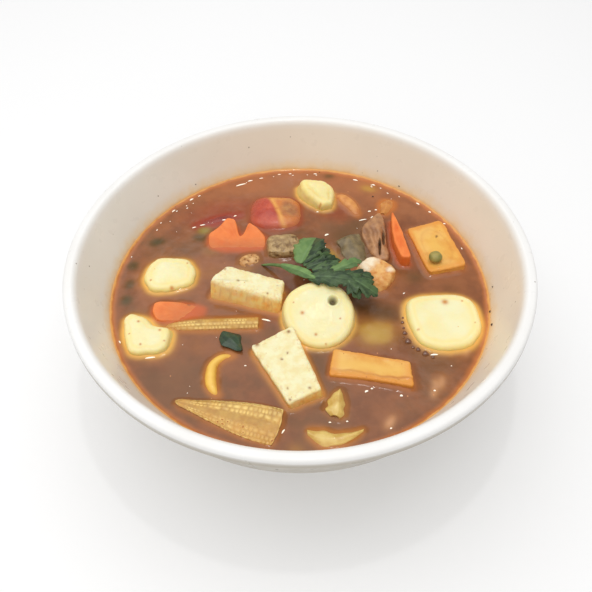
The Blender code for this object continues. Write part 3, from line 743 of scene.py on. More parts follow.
def make_chunks():
    own, masks = slab(
        [(-6, 11), (7, 10.5), (12, 3), (10.5, -6), (1, -10.5), (-8, -10), (-13, -2), (-11, 6)],
        12.0, edge=2.4, slope=2.8, crown=0.8, softness=0.7,
    )
    make_slice(
        "white_chunk_left", own, masks, (3, 2, 0), seed=3, rough=0.35, shift=((-2.0, -1.4, 0), (2.6, 2.4, 0.4)),
        flecks=[(1.0, -6.6, 0.7), (5.6, 5.0, 0.35), (-7.0, -3.6, 0.4)],
    )
    own, masks = slab(
        [(-8, 11), (-1, 9), (3, 4.5), (9.5, 3), (9, -8), (4, -11), (-7, -11), (-11, -2), (-11.5, 8)],
        9.0, edge=2.2, slope=2.2, crown=0.6, softness=0.7,
    )
    make_slice(
        "white_chunk_front", own, masks, (4, -2, 0), seed=4, rough=0.4, shift=((-0.6, -0.8, 0), (2.6, 1.4, 0.4)),
        flecks=[(-4.0, 4.6, 0.5), (4.0, 0.6, 0.5), (-2.0, -5.6, 0.4), (6.0, -4.0, 0.35), (-6.6, -0.6, 0.3)],
    )
    own, masks = slab(
        [(-8.6, 8.5), (4, 9), (10, 3), (9, -8), (2, -10), (-4, -6), (-9, 0)],
        13.0, edge=3.0, slope=1.8, crown=1.2, softness=0.8,
    )
    make_slice(
        "white_chunk_back", own, masks, (8, 6, 0), warm_finish, seed=5, rough=0.5,
        flecks=[(1.5, -7.4, 0.5)], shift=((0, 2.5, 0), (0.5, 3.0, 0.8)),
    )


make_round_slices()
make_chunks()


# %% [markdown]
# ## Tofu
#
# Two blocks of tofu are pale on top and lightly fried on their sides, which are golden and a little fibrous,
# with crusty brown bits along the cut edges and small pores on the faces. Two more pieces are fried all
# over: one lies flat with a pea on it, and one shows the layers of its thick skin. The golden colour follows
# the masks of the rim and of the side, broken up by noise, because frying browns thin edges first.

# %% Tofu finishes
def tofu_colour(tree):
    curd = mottle(tree, tone(245, 239, 196), tone(240, 226, 170), 3.0, 3.0)
    patchy = fade(tree, grain(tree, object_place(tree), 5.0), 0.35, 0.7, 0.7, 1.2)
    fried = maths(tree, "MULTIPLY", mask(tree, "side"), patchy)
    golden = mottle(tree, tone(255, 220, 134), tone(255, 190, 96), 3.4, 3.2)
    upright = put(tree, "ShaderNodeVectorMath", {0: object_place(tree), 1: (1.0, 1.0, 0.18)}, operation="MULTIPLY")
    fibre = fade(tree, grain(tree, upright.outputs[0], 1.5), 0.48, 0.7, 0.0, 0.45)
    streaked = blend(tree, fibre, golden, tone(216, 150, 78))
    walls = blend(tree, fried, curd, streaked)
    crust = fade(tree, grain(tree, object_place(tree), 1.1), 0.5, 0.66)
    brown = maths(tree, "MULTIPLY", maths(tree, "MULTIPLY", mask(tree, "rim"), crust), 0.3)
    edged = blend(tree, brown, walls, tone(220, 156, 84))
    dotted = speckle(tree, edged, tone(222, 182, 116), 3.4, 0.25, 0.25)
    marked = blend(tree, mask(tree, "fleck"), dotted, tone(150, 96, 48))
    low = soak(tree, marked, reach=3.0, lift=1.2, to=tone(244, 184, 104))
    return soak(tree, low, reach=1.0, lift=-0.2, to=tone(230, 164, 92))


def fried_colour(tree):
    tan = mottle(tree, tone(238, 184, 88), tone(226, 158, 68), 5.0, 2.8)
    patch = fade(tree, grain(tree, object_place(tree), 9.0), 0.42, 0.66)
    light = blend(tree, maths(tree, "MULTIPLY", patch, 0.4), tan, tone(242, 200, 126))
    bright = blend(tree, mask(tree, "pale"), light, tone(236, 186, 92))
    toasted = blend(tree, mask(tree, "toast"), bright, tone(226, 160, 74))
    edged = blend(tree, maths(tree, "MULTIPLY", mask(tree, "rim"), 0.55), toasted, tone(228, 146, 60))
    layered = blend(tree, maths(tree, "MULTIPLY", mask(tree, "layer"), 0.8), edged, tone(196, 122, 56))
    dotted = speckle(tree, layered, tone(200, 128, 60), 2.8, 0.25, 0.35)
    marked = blend(tree, mask(tree, "fleck"), dotted, tone(96, 62, 34))
    return soak(tree, marked, reach=1.0, lift=0.1, to=tone(206, 122, 58))


tofu_finish = finish("tofu", tofu_colour, rough=0.55, coat=0.04, grain_mm=1.0, depth_mm=0.2, strength=0.6, soft=0.35)
fried_finish = finish("fried tofu", fried_colour, rough=0.5, coat=0.1, grain_mm=1.2, depth_mm=0.2, strength=0.6)


# %% Tofu blocks
def make_block(
    node, own, masks, turn, surface, shade, flecks=(), rough=0.2, seed=0, shift=((0, 0, 0), (0, 0, 0)), lean=0.0
):
    """A fried or plain block: uneven, pitted by small pores, and crusty along its rims.

    lean spreads its near side: a point on it moves toward -Y by lean times its distance below the top.
    """
    own = roughened(own, rough, 6.0, seed)
    grit = masks["rim"] * np.clip(rough_noise(own, 1.6, seed + 3), 0, 1)
    own = own + normals_of(own) * (0.5 * grit - 0.18 * np.clip(noise(own, 1.2, seed + 7) - 0.35, 0, 1))[..., None]
    placed_skin = fitted(turned(own, turn), node, shift)
    near_side = np.clip(-own[..., 1] / np.abs(own[..., 1]).max(), 0, 1)
    placed_skin[..., 1] -= lean * near_side * (placed_skin[..., 2].max() - placed_skin[..., 2])
    piece = skin(node + "_skin", placed_skin)
    paint(piece, fleck=spots(own, flecks), **masks)
    return dress(piece, surface, node, shade=shade)


def make_tofu():
    own, masks = slab(
        [(-11.6, 5.2), (13.0, 4.6), (14.2, -4.4), (-15.8, -4.2), (-15.8, -2.0)], 14.0, softness=0.26, edge=1.5, columns=220,
        top_rings=16,
    )
    make_block(
        "tofu_block_left", own, masks, (3, 3, -15.5), tofu_finish, tone(214, 150, 86), rough=0.3, seed=11, lean=0.42,
        shift=((-1.5, 0, 0), (0, 1.4, 0.8)),
        flecks=[(-5.0, -1.0, 0.45), (-12.0, 2.8, 0.5), (8.0, -3.2, 0.4), (11.0, 1.0, 0.3)],
    )
    own, masks = slab(
        [(-15.2, 9.8), (-14.2, -9.0), (15.2, -6.6), (15.4, 6.9)], 9.0, softness=0.18, edge=0.9, slope=0.5,
        columns=220, top_rings=24,
    )
    make_block(
        "tofu_block_front", own, masks, (7.5, 0, -65), tofu_finish, tone(226, 164, 94), seed=12,
        shift=((-1.8, -0.4, 0), (1.6, 3.4, 0.8)),
        flecks=[
            (-4.4, 2.3, 0.4), (-3.0, -0.6, 0.5), (-12.6, 6.6, 0.7), (-13.2, -6.0, 0.8), (9.0, -3.8, 0.35),
            (12.6, 3.0, 0.5), (13.6, -5.0, 0.5),
        ],
    )


def make_fried_tofu():
    own, masks = slab(
        [(-15.6, 6), (0, 5.4), (14, 4.6), (16.6, -6.2), (0, -5.5), (-15.4, -6.4)], 10.0, softness=0.22, edge=0.8,
        columns=220, top_rings=20,
    )
    along, across = own[..., 0], own[..., 1] + 0.35 * np.sin(0.3 * own[..., 0]) + 0.5 * noise(own, 3.0, 17)
    on_top = own[..., 2] > 3.0
    groove = np.exp(-(((across + 3.3) / 0.4) ** 2)) * np.clip(1.1 - noise(own, 5.0, 18), 0, 1)
    masks["layer"] = np.clip(groove, 0, 1) * on_top
    masks["pale"] = np.exp(-(((across + 0.4) / 2.0) ** 2)) * on_top * np.clip(1.2 - np.abs(along) / 18.0, 0, 1)
    masks["toast"] = np.clip((-3.4 - across) / 0.5, 0, 1) * (own[..., 2] > -1.0)
    own[..., 2] -= 0.4 * masks["layer"] + 0.5 * masks["toast"] * on_top
    make_block(
        "fried_tofu_front", own, masks, (4, -1, -11), fried_finish, tone(186, 118, 64), seed=13,
        shift=((0, -1.6, 0), (0.8, 0.2, 0)),
    )
    own, masks = slab(
        [(-15.2, 8.4), (-14.3, -9.2), (15, -9.5), (15.4, 8.2)], 9.0, softness=0.24, edge=0.9, columns=220,
        top_rings=26,
    )
    inner = np.hypot((own[..., 0] - 1.0) / 11.0, (own[..., 1] + 0.4) / 5.6)
    own[..., 2] += 0.5 * np.clip(1.0 - inner**3, 0, 1) * (own[..., 2] > 0)
    masks["layer"] = 0.25 * np.exp(-(((inner - 1.05) / 0.09) ** 2)) * (own[..., 2] > 3.0)
    masks["pale"] = 0.7 * np.clip(1.1 - inner, 0, 1) * (own[..., 2] > 3.0)
    masks["toast"] = 0.3 * np.clip(inner - 1.1, 0, 1) * (own[..., 2] > 0)
    make_block(
        "fried_tofu_right", own, masks, (3, -2, -76), fried_finish, tone(190, 120, 64), seed=14,
        shift=((-2.4, 1.4, 0), (0.8, 2.2, 0)),
        flecks=[(-5.0, 2.0, 0.55), (-4.4, 1.4, 0.3)],
    )


make_tofu()
make_fried_tofu()


# %% [markdown]
# ## Carrots
#
# One slice was notched into a flower and stands tilted, one lies flat at the left, and one stands on its edge
# at the right. The flesh is a clear orange with a slightly paler core and fine streaks from the core to the
# rim. The flower's heart, about which its rings shrink, sits below its notch, so that every ring stays whole.

# %% Carrot finish and shapes
def carrot_colour(tree):
    flesh = mottle(tree, tone(246, 134, 62), tone(234, 114, 48), 5.0, 2.4)
    paler = blend(tree, maths(tree, "MULTIPLY", mask(tree, "streak"), 0.45), flesh, tone(252, 154, 80))
    edged = blend(tree, maths(tree, "MULTIPLY", mask(tree, "rim"), 0.3), paler, tone(250, 148, 78))
    marked = blend(tree, mask(tree, "fleck"), edged, tone(70, 56, 36))
    return soak(tree, marked, reach=2.4, lift=1.2, to=tone(204, 118, 66))


carrot_finish = finish("carrot", carrot_colour, rough=0.45, coat=0.08, grain_mm=0.9, depth_mm=0.12)
CARROT = tone(204, 104, 60)


def make_carrot(node, own, masks, turn, core, flecks=(), seed=0, shift=((0, 0, 0), (0, 0, 0))):
    """Streaks run out from the core: noise of the angle about it, stronger toward the rim."""
    angle = np.arctan2(own[..., 1] - core[1], own[..., 0] - core[0])
    away = np.hypot(own[..., 0] - core[0], own[..., 1] - core[1])
    rays = np.stack([np.cos(angle) * 9.0, np.sin(angle) * 9.0, 0.15 * away], axis=-1)
    streak = np.clip(noise(rays, 0.8, seed), 0, 1)
    own = roughened(own, 0.16, 3.0, seed)
    piece = skin(node + "_skin", fitted(turned(own, turn), node, shift))
    paint(piece, streak=streak, fleck=spots(own, flecks), **masks)
    return dress(piece, carrot_finish, node, shade=CARROT)


def make_carrots():
    own, masks = slab(
        [
            (-13.2, -5.5), (-13.5, 1), (-8.5, 4.5), (-5, 9), (-1.2, 8.2), (0.8, -0.5),
            (2.8, 0.8), (5, 6.8), (9, 4), (12.8, -0.5), (13, -6.5), (4, -9), (-6, -9),
        ],
        4.5, softness=0.6, edge=0.6, columns=200, top_rings=20, heart=(1.0, -5.5),
    )
    make_carrot("carrot_flower", own, masks, (28, 0, 0), (1.0, -5.0), seed=21)
    own, masks = slab(
        [(-10.8, 4.6), (0, 5.2), (11, 3.2), (11, -1.5), (1.5, -4.6), (-8.5, -5.6), (-11.2, -1)],
        4.5, softness=0.7, edge=0.7, columns=150, top_rings=14,
    )
    make_carrot(
        "carrot_slice_left", own, masks, (6, 9, 0), (0.0, -1.0), seed=22, flecks=[(3.9, 4.0, 0.6), (3.1, 4.2, 0.4)],
    )
    own, masks = slab(
        [(-2.2, 15), (-1.2, 15.2), (1.2, 4), (3.4, -13.6), (2.6, -15), (-0.6, -14.6), (-2.6, -4), (-2.9, 4)],
        9.0, softness=0.5, edge=0.7, slope=0.1, columns=180, top_rings=14,
    )
    shift = ((0.4, -0.6, 0), (-1.0, -0.6, -0.8))
    make_carrot("carrot_slice_edge", own, masks, (0, 0, 0), (0.0, -2.0), seed=23, shift=shift)


make_carrots()


# %% [markdown]
# ## Lumps: gluten, a fried chunk and a pea
#
# These have no cut faces. Each starts as a ball whose coordinates are pushed outward, which gives a rounded
# box, and is then dented by noise. The soaked gluten is a sponge with pores, the fried chunk is white inside
# where its skin has torn, and the pea is wrinkled and sits in the fried tofu's soft skin.

# %% Lump shape and finishes
def lump(size, boxy=0.65, rings=70, columns=120):
    """A ball of radius 1 with each coordinate c made sign(c) |c|^boxy, stretched to size."""
    polar = np.linspace(0.0, np.pi, rings + 2)[1:-1, None]
    around = np.linspace(0.0, 2 * np.pi, columns, endpoint=False)
    ball = [np.sin(polar) * np.cos(around), np.sin(polar) * np.sin(around), np.cos(polar) * np.ones(columns)]
    ball = np.stack(ball, axis=-1)
    return 0.5 * np.array(size) * np.sign(ball) * np.abs(ball) ** boxy


def gluten_colour(tree):
    sponge = mottle(tree, tone(196, 164, 114), tone(156, 124, 82), 2.6, 3.2)
    lit = blend(tree, maths(tree, "MULTIPLY", mask(tree, "pore"), 0.8), sponge, tone(124, 92, 60))
    return soak(tree, lit, reach=1.6, lift=0.6, to=tone(158, 108, 66))


def crumb_colour(tree):
    tan = mottle(tree, tone(228, 184, 124), tone(200, 148, 90), 2.2, 3.0)
    lit = blend(tree, maths(tree, "MULTIPLY", mask(tree, "pore"), 0.6), tan, tone(160, 108, 64))
    return soak(tree, lit, reach=1.4, lift=0.3, to=tone(200, 132, 76))


def chunk_colour(tree):
    skin_tone = mottle(tree, tone(240, 188, 116), tone(216, 142, 72), 3.2, 3.0)
    torn = blend(tree, mask(tree, "torn"), skin_tone, tone(250, 234, 204))
    return soak(tree, torn, reach=1.2, lift=0.2, to=tone(196, 124, 62))


def pea_colour(tree):
    return mottle(tree, tone(168, 152, 82), tone(134, 130, 70), 2.4, 3.0)


gluten_finish = finish("soaked gluten", gluten_colour, rough=0.4, coat=0.2, grain_mm=0.8, depth_mm=0.5, strength=0.9)
crumb_finish = finish("soaked crumb", crumb_colour, rough=0.42, coat=0.15, grain_mm=0.8, depth_mm=0.3, strength=0.8)
chunk_finish = finish("fried chunk", chunk_colour, rough=0.45, coat=0.12, grain_mm=1.0, depth_mm=0.3, strength=0.8)
pea_finish = finish("pea", pea_colour, rough=0.42, coat=0.15, grain_mm=1.4, depth_mm=0.15)


# %% Lumps
def make_gluten(node, size, turn, seed, surface, boxy=0.45):
    own = lump(size, boxy)
    own = own + normals_of(own) * (0.8 * rough_noise(own, 4.5, seed))[..., None]
    pore = np.clip(1.6 * noise(own, 1.5, seed + 4) + 0.6 * noise(own, 0.8, seed + 9) - 0.35, 0, 1)
    own = own - normals_of(own) * (0.7 * pore)[..., None]
    piece = skin(node + "_skin", fitted(turned(own, turn), node))
    paint(piece, pore=pore)
    dress(piece, surface, node, shade=tone(150, 106, 70))


def make_fried_chunk():
    own = lump((15, 15, 9), 0.7)
    own = own + normals_of(own) * (1.6 * rough_noise(own, 6.0, 31) + 0.35 * rough_noise(own, 1.8, 33))[..., None]
    x, y = own[..., 0], own[..., 1]
    torn = np.clip(1.5 - np.hypot((x + 4.6) / 3.0, (y - 1.0) / 4.6), 0, 1) + np.clip(
        1.3 - np.hypot((x - 4.6) / 1.6, (y - 3.6) / 1.8), 0, 1
    )
    torn = np.clip(torn + 0.5 * noise(own, 2.0, 35) * (torn > 0), 0, 1) * (own[..., 2] > -1.0)
    piece = skin("fried_chunk_skin", fitted(turned(own, (4, 3, -38)), "fried_chunk", ((0, 1.8, 0), (0, 2.0, 0))))
    paint(piece, torn=torn)
    dress(piece, chunk_finish, "fried_chunk", shade=tone(180, 116, 66))


def make_pea():
    own = lump((6.6, 6.6, 5.0), 0.95, 30, 48)
    own = own + normals_of(own) * (0.12 * noise(own, 1.6, 41))[..., None]
    piece = skin("pea_skin", fitted(own, "pea_on_tofu", ((0.2, 0.4, -0.8), (-0.2, -0.4, -1.6))))
    dress(piece, pea_finish, "pea_on_tofu")


make_gluten("gluten_piece", (14.5, 11.5, 9), (6, 0, 4), 27, gluten_finish)
make_gluten("gluten_crumb", (9.5, 6.5, 5), (0, 0, 30), 29, crumb_finish, 0.8)
make_fried_chunk()
make_pea()


# %% [markdown]
# ## Baby corn
#
# Both pieces are half cobs. The skin is a set of cross-sections along the cob: a half circle below and a
# nearly flat cut face above. Rows of little kernels run along it, which are bumps of two sines, one along
# and one across, with each second row shifted by half a kernel. On the cut face two rows of kernels line
# each edge, and a smooth, slightly sunken core lies between them.

# %% Cob shape
def half_cob(length, width, taper, rings=190, columns=120, pitch=1.9, core_edge=0.36):
    """Sections along +X, from the butt to the tip; the cut face looks up.

    The half width is a quarter wave that closes toward the tip, sooner with a larger taper. Returns the skin
    and its masks.
    """
    along = 0.5 * (1 - np.cos(np.linspace(0.012, 1.0, rings) * np.pi * 0.985))
    x = length * (along - 0.5)
    closing = np.sin(np.pi * np.minimum(0.5, 0.05 + (0.68 - 0.13 * taper) * (1 - along) ** taper))
    ends = np.clip(along / 0.02, 0, 1) ** 0.5 * np.clip((1 - along) / 0.05, 0, 1) ** 0.5
    half = (0.5 * width * closing * ends)[:, None]
    angle = np.linspace(0.0, 2 * np.pi, columns, endpoint=False)[None]
    y = half * np.cos(angle)
    below = half * np.minimum(np.sin(angle), 0.0)
    across = np.abs(np.cos(angle))
    row = np.where(np.sin(angle) < 0, np.floor(angle / np.pi * 8.0), np.floor(across * 3.6))
    row_bump = np.where(
        np.sin(angle) < 0, np.abs(np.sin(8.0 * angle)), np.abs(np.sin(np.pi * across * 3.6))
    )
    shifted = x[:, None] / pitch + 0.5 * (row % 2) + 0.7 * np.sin(2.1 * row + 0.33 * x[:, None])
    kernel = np.abs(np.sin(np.pi * shifted)) ** 0.7 * row_bump**0.6
    core = np.clip((core_edge - across) / 0.12, 0, 1) * (np.sin(angle) > 0) * np.ones_like(kernel)
    kernel = kernel * (1 - core)
    face = np.where(np.sin(angle) > 0, 0.07 * half * across**2 - 0.05 * half, 0.0)
    own = np.stack([x[:, None] * np.ones_like(y), y, below + face], axis=-1)
    kernel = kernel * np.clip(0.85 + 1.0 * noise(own, 3.0, 55), 0.1, 1.0)
    grow = (0.5 * kernel * np.clip(half / 3.0, 0.25, 1.0))[..., None]
    return own + normals_of(own) * grow, {"kernel": kernel, "core": core}


def corn_colour(tree):
    base = mottle(tree, tone(206, 160, 80), tone(180, 132, 66), 4.0, 2.6)
    # Each kernel is lighter toward its crest: partly the kernels' own paler yellow, partly painted light on the tops of
    # the bumps.
    grains = blend(tree, mask(tree, "kernel"), base, tone(252, 224, 142))
    fibre = mottle(tree, tone(206, 168, 88), tone(184, 140, 74), 3.0, 2.6)
    middle = blend(tree, maths(tree, "MULTIPLY", mask(tree, "core"), 0.85), grains, fibre)
    return soak(tree, middle, reach=2.2, lift=0.4, to=tone(206, 136, 62))


corn_finish = finish("baby corn", corn_colour, rough=0.4, coat=0.12, grain_mm=0.7, depth_mm=0.1)


def make_corn():
    own, masks = half_cob(40, 14.5, 1.25, core_edge=0.28)
    own = roughened(own, 0.35, 4.0, 51)
    piece = skin("baby_corn_front_skin", fitted(turned(own, (-7, 0, 163.5)), "baby_corn_front"))
    paint(piece, **masks)
    dress(piece, corn_finish, "baby_corn_front", shade=tone(180, 118, 62))
    own, masks = half_cob(41, 8.5, 0.5, columns=96, pitch=1.7)
    piece = skin("baby_corn_left_skin", fitted(turned(own, (205, 0, 182)), "baby_corn_left", ((-2.0, 0, 0.4), (-2.6, 0, 0.6))))
    paint(piece, **masks)
    dress(piece, corn_finish, "baby_corn_left", shade=tone(180, 118, 62))


make_corn()


# %% [markdown]
# ## Tomato, mushroom and strips of pepper
#
# The tomato is a half, cut face up and tilted to the right: red skin outside, a band of yellow-orange flesh,
# and glassy gel inside. The mushroom is a folded brown frill with gaps between its folds, painted near black
# as their shade. The strips are bars along a smooth path; the yellow one is painted lighter where it faces up.

# %% Tomato
def tomato_colour(tree):
    red = mottle(tree, tone(204, 92, 66), tone(176, 68, 54), 6.0, 2.4)
    flesh = mottle(tree, tone(226, 148, 76), tone(206, 118, 66), 4.0, 2.4)
    yellow = blend(tree, maths(tree, "MULTIPLY", mask(tree, "band"), 0.8), flesh, tone(242, 178, 88))
    gel = mottle(tree, tone(192, 142, 86), tone(164, 112, 72), 3.0, 3.2)
    cut = blend(tree, mask(tree, "gel"), yellow, gel)
    whole = blend(tree, mask(tree, "face"), red, cut)
    return soak(tree, whole, reach=3.0, lift=1.3, to=tone(178, 94, 62))


tomato_finish = finish("tomato", tomato_colour, rough=0.3, coat=0.2, grain_mm=2.0, depth_mm=0.12)


def make_tomato():
    """A boxy ball: skin on its left, and to the right of a bent edge the cut face, sunk by a little."""
    own = lump((24, 23, 20), 0.66, 90, 150)
    x, y, up = own[..., 0], own[..., 1], own[..., 2] > 0
    past = x + 1.4 + 0.3 * y + 0.7 * noise(own, 4.0, 60)
    face = np.clip(past / 1.8, 0, 1) * up
    band = np.exp(-(((past - 1.6) / 1.3) ** 2)) + 0.8 * np.exp(-(((y - 8.0) / 1.6) ** 2)) * (past > 0)
    well = np.hypot((x - 6.0) / 4.4, (y - 0.6) / 6.6) + 0.35 * noise(own, 3.0, 61)
    gel = np.clip((1.1 - well) / 0.5, 0, 1) * face
    own[..., 2] -= 0.3 * face + 0.5 * gel + 0.06 * np.clip(x, 0, None) * face
    own = roughened(own, 0.3, 4.0, 62)
    piece = skin("tomato_skin", fitted(own, "tomato_half", ((-0.8, -0.5, 0), (2.6, 0.6, -2.0))))
    paint(piece, face=face, gel=gel, band=np.clip(band, 0, 1))
    dress(piece, tomato_finish, "tomato_half", shade=tone(160, 82, 56))


make_tomato()


# %% Mushroom
def mushroom_colour(tree):
    brown = mottle(tree, tone(188, 136, 92), tone(150, 104, 70), 3.6, 3.0)
    light = blend(tree, maths(tree, "MULTIPLY", mask(tree, "ridge"), 0.3), brown, tone(206, 154, 104))
    # Painted shade: the gaps between the folds are near black.
    dark = blend(tree, mask(tree, "gap"), light, tone(44, 34, 28))
    return soak(tree, dark, reach=1.2, lift=0.2, to=tone(150, 98, 62))


mushroom_finish = finish("mushroom", mushroom_colour, rough=0.36, coat=0.25, grain_mm=1.2, depth_mm=0.2, strength=0.7)


def make_mushroom():
    """A slab whose top is pleated: a sine across it, bent along it, and two deep gaps cut between folds."""
    own, masks = slab(
        [(-7.8, 5), (-3.4, 11), (2.6, 16.5), (4.6, 10), (4.2, -3), (5.2, -15), (-0.5, -16.5), (-5.0, -8)],
        9.0, softness=0.8, edge=1.4, columns=200, top_rings=34, crown=0.8,
    )
    x, y = own[..., 0], own[..., 1]
    top = own[..., 2] > 0
    pleat = np.sin(1.5 * x + 0.22 * y + 1.6 * noise(own, 5.0, 72))
    own[..., 2] += (0.35 * pleat - 0.25) * top * np.clip((8.0 - np.abs(y + 2.0)) / 4.0, 0, 1)
    gaps = np.zeros_like(x)
    for at_x, at_y, long in [(0.8, -7.5, 4.6), (3.0, -1.5, 4.2)]:
        gaps += np.exp(-(((x - at_x - 0.08 * (y - at_y)) / 0.38) ** 2) - ((y - at_y) / long) ** 4)
    gaps = np.clip(gaps, 0, 1) * top
    own[..., 2] -= 2.6 * gaps
    own = roughened(own, 0.3, 3.0, 71)
    piece = skin("mushroom_skin", fitted(turned(own, (2, -4, 0)), "mushroom_piece"))
    # gap marks the gaps, where the finish paints their shade.
    paint(piece, ridge=np.clip(pleat, 0, 1) * top, gap=gaps**0.7)
    dress(piece, mushroom_finish, "mushroom_piece", shade=tone(120, 82, 56))


make_mushroom()


# %% Strips
def smooth_path(points, count):
    """A curve through all points: between b and c, with neighbours a and d and the share t of the way,
    half of 2b + (c-a)t + (2a-5b+4c-d)t^2 + (3b-a-3c+d)t^3."""
    path = np.array(points, float)
    path = np.concatenate([2 * path[:1] - path[1:2], path, 2 * path[-1:] - path[-2:-1]])
    share = 0.5 * (1 - np.cos(np.linspace(0.0, np.pi, count))) * (len(points) - 1)
    start = np.minimum(share.astype(int), len(points) - 2)
    t = (share - start)[:, None]
    a, b, c, d = (path[start + step] for step in range(4))
    return 0.5 * (2 * b + (c - a) * t + (2 * a - 5 * b + 4 * c - d) * t**2 + (3 * b - a - 3 * c + d) * t**3)


def bar(path, radii, flat=1.0, rings=90, columns=36):
    """A bar along a smooth path, with round ends.

    Each ring stands across the path: a side direction, level with the table, and a lift at right angles to
    it. The radius follows the given radii, and a square root closes it within the first and last 6 percent.
    """
    line = smooth_path(np.column_stack([path, radii]), rings + 2)[1:-1]
    centre, radius = line[:, :3], line[:, 3]
    onward = np.gradient(centre, axis=0)
    onward /= np.linalg.norm(onward, axis=1, keepdims=True)
    side = np.cross(onward, [0.0, 0.0, 1.0])
    side /= np.linalg.norm(side, axis=1, keepdims=True)
    lift = np.cross(side, onward)
    share = 0.5 * (1 - np.cos(np.linspace(0.0, np.pi, rings + 2)[1:-1]))
    near_end = np.clip(np.minimum(share, 1 - share) / 0.06, 0, 1)
    radius = radius * np.sqrt(1 - (1 - near_end) ** 2)
    angle = np.linspace(0.0, 2 * np.pi, columns, endpoint=False)
    wide = radius[:, None, None] * np.cos(angle)[None, :, None] * side[:, None]
    tall = radius[:, None, None] * np.sin(angle)[None, :, None] * lift[:, None] * flat
    return centre[:, None] + wide + tall


def pepper_colour(tree):
    yellow = mottle(tree, tone(244, 190, 78), tone(228, 158, 56), 4.0, 2.4)
    # Painted light: the strip is lighter where it faces up, as lit from above.
    lit = blend(tree, maths(tree, "MULTIPLY", mask(tree, "back"), 0.6), yellow, tone(252, 216, 112))
    return soak(tree, lit, reach=1.0, lift=0.1, to=tone(224, 146, 56))


def gold_strip_colour(tree):
    gold = mottle(tree, tone(226, 160, 88), tone(204, 130, 68), 3.0, 2.6)
    return soak(tree, gold, reach=1.2, lift=0.4, to=tone(190, 116, 68))


def red_pepper_colour(tree):
    red = mottle(tree, tone(156, 56, 48), tone(122, 42, 40), 4.0, 2.4)
    return soak(tree, red, reach=0.8, lift=0.2, to=tone(138, 68, 52))


def green_rib_colour(tree):
    green = mottle(tree, tone(196, 178, 84), tone(150, 148, 74), 3.0, 2.4)
    return soak(tree, green, reach=1.0, lift=0.0, to=tone(176, 130, 66))


pepper_finish = finish("yellow pepper", pepper_colour, rough=0.36, coat=0.12, grain_mm=2.0, depth_mm=0.08)
gold_finish = finish("orange strip", gold_strip_colour, rough=0.36, coat=0.12, grain_mm=2.0, depth_mm=0.08)
red_finish = finish("red pepper", red_pepper_colour, rough=0.3, coat=0.25, grain_mm=2.0, depth_mm=0.1)
rib_finish = finish("green rib", green_rib_colour, rough=0.4, coat=0.15, grain_mm=1.6, depth_mm=0.1)


def make_strip(node, path, radii, surface, shade, flat=1.0, seed=0, shift=((0, 0, 0), (0, 0, 0))):
    own = bar(path, radii, flat)
    # A mask of the upward-facing side, where the pepper finish paints its light.
    back = np.clip(normals_of(own)[..., 2], 0, 1) ** 3
    own = roughened(own, 0.14, 3.0, seed)
    piece = skin(node + "_skin", fitted(own, node, shift))
    paint(piece, back=back)
    dress(piece, surface, node, shade=shade)


make_strip(
    "yellow_pepper_strip",
    [(5.5, 9.5, -1), (0.5, 8.5, 0), (-3.0, 4.5, 0.6), (-3.6, -1.5, 0.6), (-2.2, -6.5, 0), (0.8, -9.4, -1.5)],
    [1.1, 1.8, 2.1, 2.3, 2.0, 1.1], pepper_finish, tone(190, 126, 66), seed=81,
)
make_strip(
    "yellow_strip_back", [(-5.5, 5.5, -1), (-2, 6, 0), (1, 2, 0), (3.4, -3, 0), (4.6, -8, -1)],
    [1.2, 2.2, 2.6, 1.9, 0.8], gold_finish, tone(188, 120, 68), 0.5, 82, ((-0.6, -0.4, 0), (0.8, 0.4, 0)),
)
make_strip(
    "red_pepper_strip", [(-12, -4.5, -0.8), (-5, -2, 0), (3, 1, 0), (11, 4, -0.8)],
    [2.6, 3.4, 3.4, 2.4], red_finish, tone(156, 66, 52), 0.6, seed=83,
)
make_strip(
    "green_strip", [(-4, 6.6, -1.2), (-1.6, 2.6, 0), (1.2, -2.0, 0.2), (3.4, -6.4, -0.8)],
    [0.7, 1.5, 1.6, 0.7], rib_finish, tone(170, 150, 70), seed=84,
)


# %% [markdown]
# ## Petals of onion and cabbage
#
# A petal is a sheet bent over a cylinder and narrowed at its ends. The sheet is a grid of two parameters, one
# across and one along; Solidify gives it its thickness. Fine veins run along it.

# %% Petals
def sheet_faces(rows, columns):
    """Quads of an open grid, facing up where rows run along +Y and columns along +X."""
    row, column = np.meshgrid(np.arange(rows - 1), np.arange(columns - 1), indexing="ij")
    here = (row * columns + column).ravel()
    return np.stack([here, here + 1, here + columns + 1, here + columns], axis=1)


def thickened(piece, thick, offset=-1.0):
    shell = piece.modifiers.new("thickness", "SOLIDIFY")
    shell.thickness = thick * MM
    shell.offset = offset
    shell.use_even_offset = False
    return piece


def petal_finish(name, first, second, vein, under):
    def colour(tree):
        flesh = mottle(tree, first, second, 3.2, 2.6)
        veined = blend(tree, maths(tree, "MULTIPLY", mask(tree, "vein"), 0.16), flesh, vein)
        return soak(tree, veined, reach=1.0, lift=0.1, to=under)
    return finish(name, colour, rough=0.3, coat=0.25, grain_mm=1.6, depth_mm=0.12)


